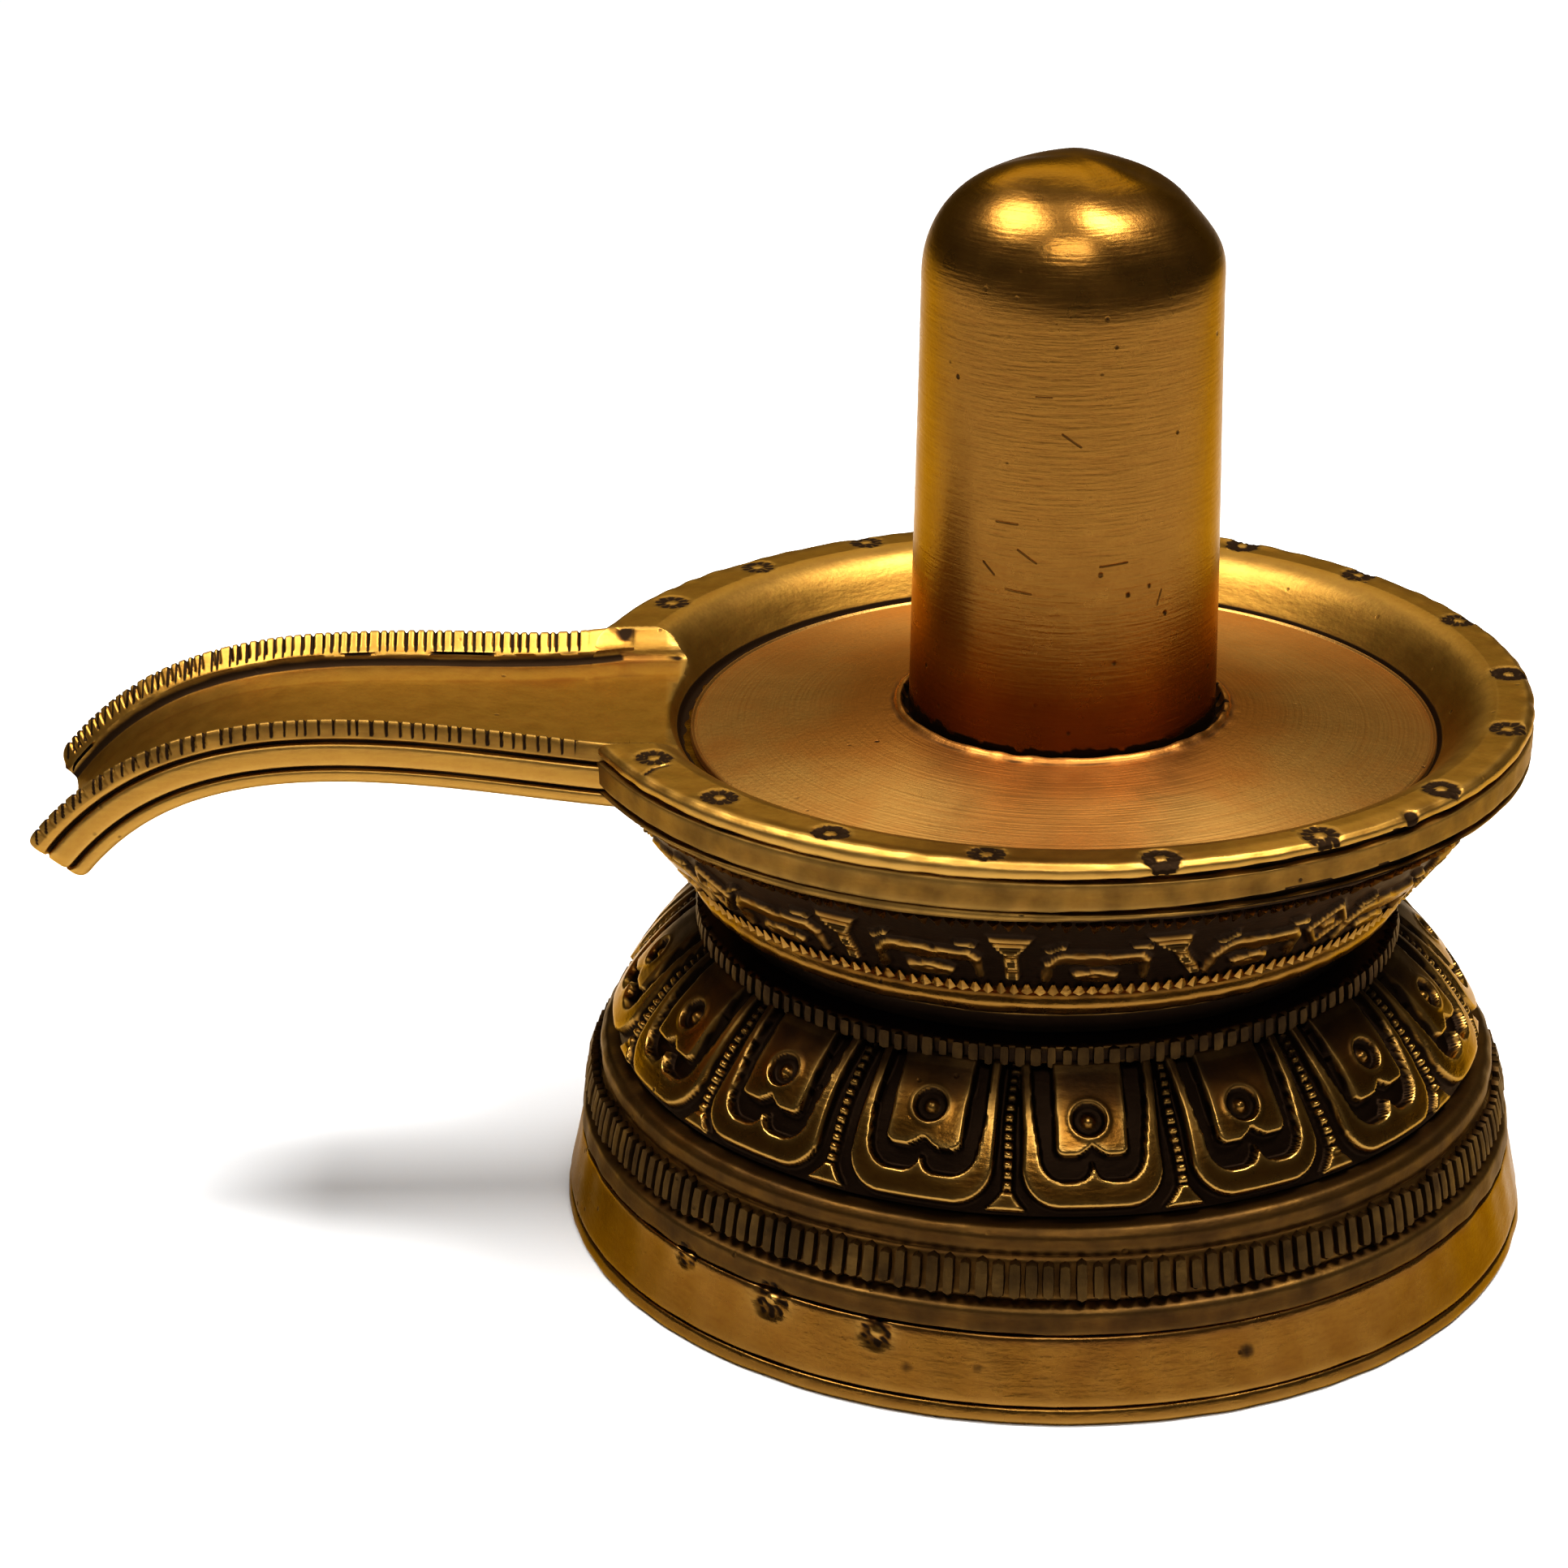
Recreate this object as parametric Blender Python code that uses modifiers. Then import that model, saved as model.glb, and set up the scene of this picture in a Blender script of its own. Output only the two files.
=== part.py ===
"""Cast brass shiva lingam: a domed pillar in a spouted dish, on a lotus base.

The underside is at z = 0, the base and the rim are centred on the Z axis, and the spout runs along -X.
The pieces are the lotus base with its collar and neck, the dish with its carved bowl and channel spout,
and the pillar that is set into the dish's floor, a little off the centre. Units are metres.
"""

import math

import bmesh
import bpy
from mathutils import Matrix, Vector
from mathutils.geometry import interpolate_bezier

# Facets of the turned forms
TURN_STEPS = 44
PILLAR_STEPS = 28
ARC_STEPS = 3

# Clearance where one piece sits on or in another
SEAT_GAP = 0.0003

# Drum of the base, from the underside up
FOOT_RADIUS = 0.0572
FOOT_EDGE_ROUND = 0.0005
FOOT_LIP_HEIGHT = 0.0018
LINE_WIDTH = 0.0006
LINE_DEPTH = 0.0007
BAND_HEIGHT = 0.0075
BAND_TOP_RADIUS = 0.0560
FILLET_HEIGHT = 0.0024
FILLET_TOP_RADIUS = 0.0555
HOLLOW_HEIGHT = 0.0012
HOLLOW_DEPTH = 0.0012
KNURL_HEIGHT = 0.0042
KNURL_TOP_RADIUS = 0.0541
RIDGE_HEIGHT = 0.0021
RIDGE_RADIUS = 0.0532
RIDGE_FOOT_DEPTH = 0.0014

# Lotus dome, collar and neck
DOME_FOOT_RADIUS = 0.0514
DOME_HEIGHT = 0.0124
DOME_TOP_RADIUS = 0.0409
DOME_BULGE = 0.0010
COLLAR_UNDERCUT = 0.0008
COLLAR_RADIUS = 0.0412
COLLAR_HEIGHT = 0.0017
NECK_RADIUS = 0.0380
NECK_HEIGHT = 0.0035

# Lotus petals and the ribs between them
PETAL_COUNT = 16
PETAL_TURN = math.radians(1.5)
PETAL_RISE = 0.0012
PETAL_SINK = 0.0012
PETAL_FOOT_GAP = 0.0006
PETAL_TOP_GAP = 0.0010
PETAL_TOP_HALF = 0.0067
PETAL_FOOT_HALF = 0.0079
PETAL_CORNER = 0.0030
PETAL_SIDE_BORDER = 0.0021
PETAL_FOOT_BORDER = 0.0031
PETAL_CHANNEL_WIDTH = 0.0018
PETAL_CHANNEL_DEPTH = 0.0010
PETAL_EDGE_SLOPE = 0.0003
EYE_RADIUS = 0.0016
EYE_RISE = 0.0004
EYE_FROM_FOOT = 0.0093
EYE_SIDES = 8
RIB_TOP_HALF = 0.0006
RIB_FOOT_HALF = 0.0017
RIB_RISE = 0.0009

# Bowl under the dish, from its foot up to the rim
BOWL_FOOT_RADIUS = 0.0400
MOULDING_RADIUS = 0.0422
MOULDING_HEIGHT = 0.0030
BOWL_WALL_FOOT_RADIUS = 0.0424
BOWL_WALL_HEIGHT = 0.0146
BOWL_WALL_TOP_RADIUS = 0.0526
BOWL_BULGE = 0.0004
BEAD_ROW_RISE = 0.0006
BEAD_ROW_WIDTH = 0.0013
BEAD_ROW_MARGIN = 0.0012

# Rim of the dish, from its underside up
RIM_RADIUS = 0.0545
RIM_MOULDING_HEIGHT = 0.0010
RIM_BAND_HEIGHT = 0.0028
RIM_LIP_HEIGHT = 0.0014
RIM_EDGE_ROUND = 0.0004

# Inside of the dish; its turned floor is a little off the rim's centre
FLOOR_OFFSET_X = 0.0015
RIM_INNER_RADIUS = 0.0505
RIM_INNER_ROUND = 0.0012
FLOOR_RADIUS = 0.0440
FLOOR_EDGE_DEPTH = 0.0054
FLOOR_RISE = 0.0024
WALL_BULGE = 0.0008
RING_WIDTH = 0.0015
RING_RISE = 0.0007
SOCKET_DEPTH = 0.0040

# Pillar
PILLAR_RADIUS = 0.0179
PILLAR_SHOULDER_RADIUS = 0.0170
PILLAR_HEIGHT = 0.0642
PILLAR_DOME_HEIGHT = 0.0150
PILLAR_DOME_POWER = 2.3
PILLAR_FOOT_ROUND = 0.0006
DOME_STEPS = 6

# Channel spout
SPOUT_REACH = 0.1170
SPOUT_BURIED = 0.0240
SPOUT_START_DROP = 0.0005
SPOUT_CREST_LIFT = 0.0077
SPOUT_TIP_DROP = 0.0133
SPOUT_ROOT_HALF = 0.0197
SPOUT_TIP_HALF = 0.0140
SPOUT_FLARE_POWER = 4
SPOUT_DEPTH = 0.0080
SPOUT_WALL = 0.0030
SPOUT_WALL_SLOPE = 0.0008
SPOUT_UNDERSIDE_INSET = 0.0012
CHANNEL_DEPTH = 0.0042
CHANNEL_CLEAR = 0.0060
SPOUT_STEPS = 10

BRASS = {"base": (0.36, 0.20, 0.05), "dish": (0.50, 0.29, 0.08), "pillar": (0.54, 0.32, 0.09)}
BRASS_ROUGHNESS = 0.34

BASE_HEIGHT = (
    FOOT_LIP_HEIGHT + BAND_HEIGHT + FILLET_HEIGHT + HOLLOW_HEIGHT + KNURL_HEIGHT + HOLLOW_HEIGHT
    + RIDGE_HEIGHT + 2 * LINE_WIDTH + HOLLOW_HEIGHT + DOME_HEIGHT + COLLAR_UNDERCUT + COLLAR_HEIGHT + NECK_HEIGHT
)
BOWL_BOTTOM = BASE_HEIGHT + SEAT_GAP
RIM_BOTTOM = BOWL_BOTTOM + MOULDING_HEIGHT + BOWL_WALL_HEIGHT
RIM_TOP = RIM_BOTTOM + RIM_MOULDING_HEIGHT + RIM_BAND_HEIGHT + RIM_LIP_HEIGHT + 2 * LINE_WIDTH
FLOOR_EDGE = RIM_TOP - FLOOR_EDGE_DEPTH
SOCKET_RADIUS = PILLAR_RADIUS + SEAT_GAP
RING_OUTER = SOCKET_RADIUS + RING_WIDTH
FLOOR_AT_RING = FLOOR_EDGE + FLOOR_RISE
SOCKET_FLOOR = FLOOR_AT_RING - SOCKET_DEPTH
PILLAR_BOTTOM = SOCKET_FLOOR + SEAT_GAP


def clear_scene():
    """Removes every object of the open scene."""
    for obj in list(bpy.data.objects):
        bpy.data.objects.remove(obj, do_unlink=True)


def new_collection(name):
    """A new collection in the scene."""
    made = bpy.data.collections.new(name)
    bpy.context.scene.collection.children.link(made)
    return made


def brass(name, colour):
    """A Principled brass of the given colour."""
    made = bpy.data.materials.new(name)
    made.use_nodes = True
    shader = made.node_tree.nodes["Principled BSDF"]
    shader.inputs["Base Color"].default_value = (*colour, 1.0)
    shader.inputs["Metallic"].default_value = 1.0
    shader.inputs["Roughness"].default_value = BRASS_ROUGHNESS
    return made


def add_mesh(name, bm, collection):
    """Makes an object of the bmesh and frees it."""
    mesh = bpy.data.meshes.new(name)
    bm.to_mesh(mesh)
    bm.free()
    obj = bpy.data.objects.new(name, mesh)
    collection.objects.link(obj)
    return obj


def make_helper(obj):
    """Keeps a cutter or an addition out of the finished model."""
    obj.hide_render = True
    obj.display_type = "WIRE"
    return obj


def bowed(start, end, bulge, steps):
    """Points from start to end on a shallow curve that stands out by bulge in the middle, both ends included."""
    start = Vector(start)
    end = Vector(end)
    along = end - start
    out = Vector((along.y, -along.x)).normalized()
    shares = [i / steps for i in range(steps + 1)]
    return [start + along * t + out * (4 * bulge * t * (1 - t)) for t in shares]


def turned(name, outline, steps, collection):
    """A turned solid: the outline runs from the axis on top, down the outside, to the axis below."""
    bm = bmesh.new()
    points = [bm.verts.new((radius, 0.0, height)) for radius, height in outline]
    for first, second in zip(points, points[1:]):
        bm.edges.new((first, second))
    obj = add_mesh(name, bm, collection)
    screw = obj.modifiers.new("Turn", "SCREW")
    screw.steps = steps
    screw.render_steps = steps
    screw.use_merge_vertices = True
    screw.merge_threshold = 0.00001
    return obj


def loft(name, sections, collection):
    """A closed solid through like sections, each a ring of points."""
    bm = bmesh.new()
    rings = [[bm.verts.new(point) for point in section] for section in sections]
    for ring, following in zip(rings, rings[1:]):
        for i, corner in enumerate(ring):
            after = (i + 1) % len(ring)
            bm.faces.new((corner, ring[after], following[after], following[i]))
    bm.faces.new(rings[0])
    bm.faces.new(rings[-1])
    bmesh.ops.triangulate(bm, faces=bm.faces)
    bmesh.ops.recalc_face_normals(bm, faces=bm.faces)
    return add_mesh(name, bm, collection)


def boolean(obj, other, operation):
    """Joins the other solid to the object, or cuts it away."""
    modifier = obj.modifiers.new(f"{operation.title()} {other.name}", "BOOLEAN")
    modifier.operation = operation
    modifier.object = other


def groove(radius, height):
    """Outline points of a cut line on a side wall, from its top edge down."""
    return [
        (radius, height + LINE_WIDTH),
        (radius - LINE_DEPTH, height + LINE_WIDTH / 2),
        (radius, height),
    ]


def dome_curve():
    """The lotus dome's ground, from its foot up to the collar's hollow."""
    foot = (DOME_FOOT_RADIUS, dome_foot_height())
    return bowed(foot, (DOME_TOP_RADIUS, foot[1] + DOME_HEIGHT), DOME_BULGE, 2 * ARC_STEPS)


def dome_foot_height():
    """Height at which the lotus dome starts, over the drum and its ridge."""
    drum = FOOT_LIP_HEIGHT + BAND_HEIGHT + FILLET_HEIGHT + KNURL_HEIGHT + RIDGE_HEIGHT
    return drum + 2 * LINE_WIDTH + 3 * HOLLOW_HEIGHT


def base_outline():
    """Outline of the base, from the neck's top down to the underside."""
    rising = [(0.0, 0.0), (FOOT_RADIUS - FOOT_EDGE_ROUND, 0.0), (FOOT_RADIUS, FOOT_EDGE_ROUND)]
    level = FOOT_LIP_HEIGHT
    rising += reversed(groove(FOOT_RADIUS - FOOT_EDGE_ROUND / 2, level))
    level += LINE_WIDTH + BAND_HEIGHT
    rising += reversed(groove(BAND_TOP_RADIUS, level))
    level += LINE_WIDTH + FILLET_HEIGHT
    rising.append((FILLET_TOP_RADIUS, level))
    level += HOLLOW_HEIGHT
    rising += [(FILLET_TOP_RADIUS - HOLLOW_DEPTH, level - HOLLOW_HEIGHT / 2), (FILLET_TOP_RADIUS, level)]
    level += KNURL_HEIGHT
    rising.append((KNURL_TOP_RADIUS, level))
    level += HOLLOW_HEIGHT
    rising.append((KNURL_TOP_RADIUS - HOLLOW_DEPTH, level - HOLLOW_HEIGHT / 2))
    rising.append((RIDGE_RADIUS, level))
    level += RIDGE_HEIGHT
    rising += [(RIDGE_RADIUS, level - RIDGE_HEIGHT / 3), (RIDGE_RADIUS - RIDGE_FOOT_DEPTH / 2, level)]
    rising += [tuple(point) for point in dome_curve()]
    level = dome_foot_height() + DOME_HEIGHT + COLLAR_UNDERCUT
    rising += [(NECK_RADIUS + HOLLOW_DEPTH, level - COLLAR_UNDERCUT / 3), (COLLAR_RADIUS, level)]
    level += COLLAR_HEIGHT
    rising += [(COLLAR_RADIUS, level), (NECK_RADIUS, level), (NECK_RADIUS, level + NECK_HEIGHT)]
    rising.append((0.0, level + NECK_HEIGHT))
    return rising[::-1]


def on_dome(angle, sideways, up_slope, rise):
    """The point over the lotus dome, sideways from the given angle, up the slope from its foot, rise above it."""
    curve = dome_curve()
    left = up_slope
    for first, second in zip(curve, curve[1:]):
        run = second - first
        if left <= run.length or second is curve[-1]:
            break
        left -= run.length
    place = first + run * (left / run.length)
    out = Vector((run.y, -run.x)).normalized()
    radius = place.x + rise * out.x
    turn = angle + sideways / place.x
    return Vector((radius * math.cos(turn), radius * math.sin(turn), place.y + rise * out.y))


def dome_length():
    """Length of the lotus dome's slope."""
    curve = dome_curve()
    return sum((second - first).length for first, second in zip(curve, curve[1:]))


def tongue_shape(top_half, foot_half, foot, corner, top):
    """A U outline as (sideways, up the slope), from the left top round the foot to the right top."""
    square = foot_half - corner
    bend = corner * math.cos(math.pi / 4)
    left = [
        (-top_half, top),
        (-(top_half + foot_half) / 2, (foot + corner + top) / 2),
        (-foot_half, foot + corner),
        (-square - bend, foot + corner - bend),
        (-square, foot),
    ]
    return left + [(0.0, foot)] + [(-side, up) for side, up in reversed(left)]


def relief(bm, angle, steps):
    """Adds a closed piece of relief on the dome, from nested U outlines with their heights, outermost first."""
    loops = [[bm.verts.new(on_dome(angle, side, up, rise)) for side, up in shape] for shape, rise in steps]
    made = []
    for outer, inner in zip(loops, loops[1:]):
        for i in range(len(outer) - 1):
            made.append(bm.faces.new((outer[i], outer[i + 1], inner[i + 1], inner[i])))
    for loop in (loops[0], loops[-1]):
        last = len(loop) - 1
        for i in range(last // 2 - 1):
            made.append(bm.faces.new((loop[i], loop[i + 1], loop[last - i - 1], loop[last - i])))
        middle = last // 2
        made.append(bm.faces.new((loop[middle - 1], loop[middle], loop[middle + 1])))
    made.append(bm.faces.new([loop[0] for loop in loops] + [loop[-1] for loop in reversed(loops)]))
    bmesh.ops.triangulate(bm, faces=made)


def petal_steps():
    """The nested outlines of one petal: its raised border, the sunk channel and the tongue inside it."""
    top = dome_length() - PETAL_TOP_GAP
    outer = (PETAL_TOP_HALF, PETAL_FOOT_HALF, PETAL_FOOT_GAP, PETAL_CORNER)
    side = PETAL_SIDE_BORDER
    foot = PETAL_FOOT_BORDER
    floor = PETAL_RISE - PETAL_CHANNEL_DEPTH

    def inset(sides, foot_inset, rise):
        corner = max(outer[3] - sides / 2, PETAL_EDGE_SLOPE)
        halves = (outer[0] - sides, outer[1] - sides)
        return tongue_shape(*halves, outer[2] + foot_inset, corner, top), rise

    return [
        inset(0.0, 0.0, -PETAL_SINK),
        inset(0.0, 0.0, PETAL_RISE),
        inset(side, foot, PETAL_RISE),
        inset(side + PETAL_EDGE_SLOPE, foot + PETAL_EDGE_SLOPE, floor),
        inset(side + PETAL_CHANNEL_WIDTH, foot + PETAL_CHANNEL_WIDTH, floor),
        inset(side + PETAL_CHANNEL_WIDTH + PETAL_EDGE_SLOPE, foot + PETAL_CHANNEL_WIDTH, PETAL_RISE),
    ]


def rib_steps():
    """The outline of the rib that stands between two petals, flared at its foot."""
    top = dome_length() - PETAL_TOP_GAP
    shape = tongue_shape(RIB_TOP_HALF, RIB_FOOT_HALF, PETAL_FOOT_GAP, RIB_FOOT_HALF / 2, top)
    waist = len(shape) // 2
    narrow = [(math.copysign(RIB_TOP_HALF, side) if abs(i - waist) > 2 else side, up)
              for i, (side, up) in enumerate(shape)]
    return [(narrow, -PETAL_SINK), (narrow, RIB_RISE)]


def petal_ring(collection):
    """All petals and ribs of the dome, as one helper."""
    bm = bmesh.new()
    for i in range(PETAL_COUNT):
        angle = PETAL_TURN + math.tau * i / PETAL_COUNT
        relief(bm, angle, petal_steps())
        relief(bm, angle + math.pi / PETAL_COUNT, rib_steps())
    bmesh.ops.recalc_face_normals(bm, faces=bm.faces)
    return make_helper(add_mesh("petal_ring", bm, collection))


def eye_ring(collection):
    """The small boss on each petal's tongue, as one helper."""
    bm = bmesh.new()
    height = PETAL_RISE + PETAL_SINK
    for i in range(PETAL_COUNT):
        angle = PETAL_TURN + math.tau * i / PETAL_COUNT
        low = on_dome(angle, 0.0, EYE_FROM_FOOT, 0.0)
        out = (on_dome(angle, 0.0, EYE_FROM_FOOT, height) - low).normalized()
        middle = low + out * (PETAL_RISE + EYE_RISE - height / 2)
        place = Matrix.Translation(middle) @ Vector((0, 0, 1)).rotation_difference(out).to_matrix().to_4x4()
        bmesh.ops.create_cone(
            bm, cap_ends=True, segments=EYE_SIDES, radius1=EYE_RADIUS, radius2=EYE_RADIUS / 2,
            depth=height, matrix=place,
        )
    return make_helper(add_mesh("eye_ring", bm, collection))


def bowl_wall():
    """The bowl's wall from under the rim down to the moulding, with its two bead rows standing proud."""
    foot = Vector((BOWL_WALL_FOOT_RADIUS, BOWL_BOTTOM + MOULDING_HEIGHT))
    top = Vector((BOWL_WALL_TOP_RADIUS, RIM_BOTTOM))
    along = (top - foot).normalized()
    out = Vector((along.y, -along.x))
    points = []
    for start in (
        top - along * (BEAD_ROW_MARGIN / 2),
        foot + along * (BEAD_ROW_MARGIN + BEAD_ROW_WIDTH),
    ):
        low = start - along * BEAD_ROW_WIDTH
        points += [start, (start + low) / 2 + out * BEAD_ROW_RISE, low]
    frieze = bowed(points[2], points[3], -BOWL_BULGE, ARC_STEPS)
    return [top] + points[:3] + frieze[1:-1] + points[3:] + [foot]


def dish_outline():
    """Outside of the dish, from the middle of its top face down to its underside."""
    edge = RIM_EDGE_ROUND
    level = RIM_TOP - RIM_LIP_HEIGHT - LINE_WIDTH
    outline = [(0.0, RIM_TOP), (RIM_RADIUS - edge, RIM_TOP), (RIM_RADIUS, RIM_TOP - edge)]
    outline += groove(RIM_RADIUS, level)
    level -= RIM_BAND_HEIGHT + LINE_WIDTH
    outline += groove(RIM_RADIUS, level)
    outline.append((RIM_RADIUS - edge, RIM_BOTTOM))
    outline += [tuple(point) for point in bowl_wall()]
    outline += [(MOULDING_RADIUS, BOWL_BOTTOM + MOULDING_HEIGHT / 2), (BOWL_FOOT_RADIUS, BOWL_BOTTOM)]
    outline.append((0.0, BOWL_BOTTOM))
    return outline


def hollow_outline():
    """The space inside the rim: a rounded edge, a cove, the crowned floor, the ring and the pillar's socket."""
    edge = (RIM_INNER_RADIUS - RIM_INNER_ROUND, RIM_TOP - RIM_INNER_ROUND / 2)
    over = RIM_TOP + SEAT_GAP + RIM_INNER_ROUND
    wall = bowed((FLOOR_RADIUS, FLOOR_EDGE), edge, WALL_BULGE, ARC_STEPS)
    outline = [(0.0, over), (RIM_INNER_RADIUS + RIM_INNER_ROUND, over), (RIM_INNER_RADIUS, RIM_TOP)]
    outline += [tuple(point) for point in reversed(wall)]
    outline += [
        (RING_OUTER, FLOOR_AT_RING),
        (RING_OUTER - RING_RISE / 2, FLOOR_AT_RING + RING_RISE),
        (SOCKET_RADIUS, FLOOR_AT_RING + RING_RISE / 2),
        (SOCKET_RADIUS, SOCKET_FLOOR),
        (0.0, SOCKET_FLOOR),
    ]
    return outline


def spout_stations():
    """Places along the spout: the crest's point, the direction out of its top, and the half width there."""
    start = Vector((RIM_RADIUS - SPOUT_BURIED, 0.0, RIM_TOP - SPOUT_START_DROP))
    root = Vector((RIM_INNER_RADIUS, 0.0, RIM_TOP - SPOUT_START_DROP))
    tip = Vector((SPOUT_REACH, 0.0, RIM_TOP - SPOUT_TIP_DROP))
    run = tip.x - root.x
    first = root + Vector((run / 3, 0.0, SPOUT_START_DROP))
    second = Vector((tip.x - run / 4, 0.0, RIM_TOP + SPOUT_CREST_LIFT))
    crest = [start] + interpolate_bezier(root, first, second, tip, SPOUT_STEPS)
    stations = []
    for i, point in enumerate(crest):
        before = crest[max(i - 1, 0)]
        after = crest[min(i + 1, len(crest) - 1)]
        along = (after - before).normalized()
        up = Vector((-along.z, 0.0, along.x))
        share = max(0.0, min(1.0, (point.x - root.x) / run))
        half = SPOUT_TIP_HALF + (SPOUT_ROOT_HALF - SPOUT_TIP_HALF) * (1 - share) ** SPOUT_FLARE_POWER
        stations.append((Vector((-point.x, 0.0, point.z)), Vector((-up.x, 0.0, up.z)), half))
    return stations


def spout_body(collection):
    """The spout as a solid bar, before its channel is cut."""
    sections = []
    for point, up, half in spout_stations():
        low = half - SPOUT_UNDERSIDE_INSET
        corners = [(-half, 0.0), (half, 0.0), (half, -SPOUT_DEPTH / 2), (low, -SPOUT_DEPTH)]
        corners += [(-low, -SPOUT_DEPTH), (-half, -SPOUT_DEPTH / 2)]
        sections.append([point + Vector((0.0, side, 0.0)) + up * rise for side, rise in corners])
    return make_helper(loft("spout_body", sections, collection))


def spout_channel(collection):
    """The channel that is cut along the spout, open into the dish and at the tip."""
    stations = spout_stations()
    point, up, half = stations[-1]
    along = (point - stations[-2][0]).normalized()
    stations.append((point + along * CHANNEL_CLEAR, up, half))
    sections = []
    for point, up, half in stations:
        top = half - SPOUT_WALL + SPOUT_WALL_SLOPE
        low = top - 2 * SPOUT_WALL_SLOPE
        corners = [(-low, -CHANNEL_DEPTH), (low, -CHANNEL_DEPTH), (top, 0.0), (top, CHANNEL_CLEAR)]
        corners += [(-top, CHANNEL_CLEAR), (-top, 0.0)]
        sections.append([point + Vector((0.0, side, 0.0)) + up * rise for side, rise in corners])
    return make_helper(loft("spout_channel", sections, collection))


def pillar_outline():
    """Outline of the pillar, from the top of its dome down to its foot."""
    top = PILLAR_BOTTOM + PILLAR_HEIGHT + SOCKET_DEPTH
    shoulder = top - PILLAR_DOME_HEIGHT
    outline = [(0.0, top)]
    for i in range(1, DOME_STEPS + 1):
        turn = math.pi / 2 * i / DOME_STEPS
        wide = math.sin(turn) ** (2 / PILLAR_DOME_POWER)
        high = math.cos(turn) ** (2 / PILLAR_DOME_POWER) if i < DOME_STEPS else 0.0
        outline.append((PILLAR_SHOULDER_RADIUS * wide, shoulder + PILLAR_DOME_HEIGHT * high))
    outline.append((PILLAR_RADIUS, PILLAR_BOTTOM + SOCKET_DEPTH))
    outline.append((PILLAR_RADIUS, PILLAR_BOTTOM + PILLAR_FOOT_ROUND))
    outline.append((PILLAR_RADIUS - PILLAR_FOOT_ROUND, PILLAR_BOTTOM))
    outline.append((0.0, PILLAR_BOTTOM))
    return outline


def build_base(collection, helpers):
    """The lotus base: a turned drum, dome, collar and neck with the petals, eyes and ribs joined on."""
    base = turned("lotus_base", base_outline(), TURN_STEPS, collection)
    boolean(base, petal_ring(helpers), "UNION")
    boolean(base, eye_ring(helpers), "UNION")
    base.data.materials.append(brass("aged_brass", BRASS["base"]))


def build_dish(collection, helpers):
    """The dish: its turned outside with the spout joined on, then hollowed and the channel cut."""
    dish = turned("yoni_dish", dish_outline(), TURN_STEPS, collection)
    hollow = make_helper(turned("dish_hollow", hollow_outline(), TURN_STEPS, helpers))
    hollow.location.x = FLOOR_OFFSET_X
    boolean(dish, spout_body(helpers), "UNION")
    boolean(dish, hollow, "DIFFERENCE")
    boolean(dish, spout_channel(helpers), "DIFFERENCE")
    dish.data.materials.append(brass("dish_brass", BRASS["dish"]))


def build_pillar(collection):
    """The pillar, set in the dish's socket."""
    pillar = turned("shiva_lingam", pillar_outline(), PILLAR_STEPS, collection)
    pillar.location.x = FLOOR_OFFSET_X
    pillar.data.materials.append(brass("pillar_brass", BRASS["pillar"]))
    pillar.data.shade_smooth()


def main():
    """Builds the three pieces."""
    clear_scene()
    shown = new_collection("shiva_lingam_set")
    helpers = new_collection("cutters")
    build_base(shown, helpers)
    build_dish(shown, helpers)
    build_pillar(shown)


main()
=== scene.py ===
import logging
import math
from dataclasses import dataclass
from enum import Enum
from typing import Any, Union

import bpy
import numpy as np
from mathutils import Matrix, Vector


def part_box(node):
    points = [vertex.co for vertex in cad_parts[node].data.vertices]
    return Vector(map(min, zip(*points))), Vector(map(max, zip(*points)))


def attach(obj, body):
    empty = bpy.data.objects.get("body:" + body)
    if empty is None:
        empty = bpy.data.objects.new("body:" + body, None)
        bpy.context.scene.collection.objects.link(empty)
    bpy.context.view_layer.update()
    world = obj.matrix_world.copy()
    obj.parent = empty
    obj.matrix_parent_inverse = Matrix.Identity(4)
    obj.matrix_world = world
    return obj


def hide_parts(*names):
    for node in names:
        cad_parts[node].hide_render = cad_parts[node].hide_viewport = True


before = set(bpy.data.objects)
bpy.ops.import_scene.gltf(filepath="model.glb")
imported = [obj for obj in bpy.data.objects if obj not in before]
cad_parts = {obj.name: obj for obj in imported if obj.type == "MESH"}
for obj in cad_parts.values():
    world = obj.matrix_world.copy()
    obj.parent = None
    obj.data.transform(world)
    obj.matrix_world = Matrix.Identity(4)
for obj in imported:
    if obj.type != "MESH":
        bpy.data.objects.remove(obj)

log = logging.getLogger("shiva_lingam")
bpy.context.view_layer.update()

Colour = tuple[float, float, float, float]
Value = Union["Flow", float, tuple, bpy.types.NodeSocket]

SEED = 16
BODY = "root"
FULL_TURN = 2 * math.pi

# Sizes of the clouds, specks and pits in the metal, and the colour of its rubbed edges
CLOUD_SCALE = 55.0
PATCH_SCALE = 90.0
MOTTLE_SCALE = 260.0
PIT_SCALE = 330.0
GRAIN_SCALE = 1900.0
RUBBED_GOLD = (0.46, 0.28, 0.08, 1.0)


# Shader graphs


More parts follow.
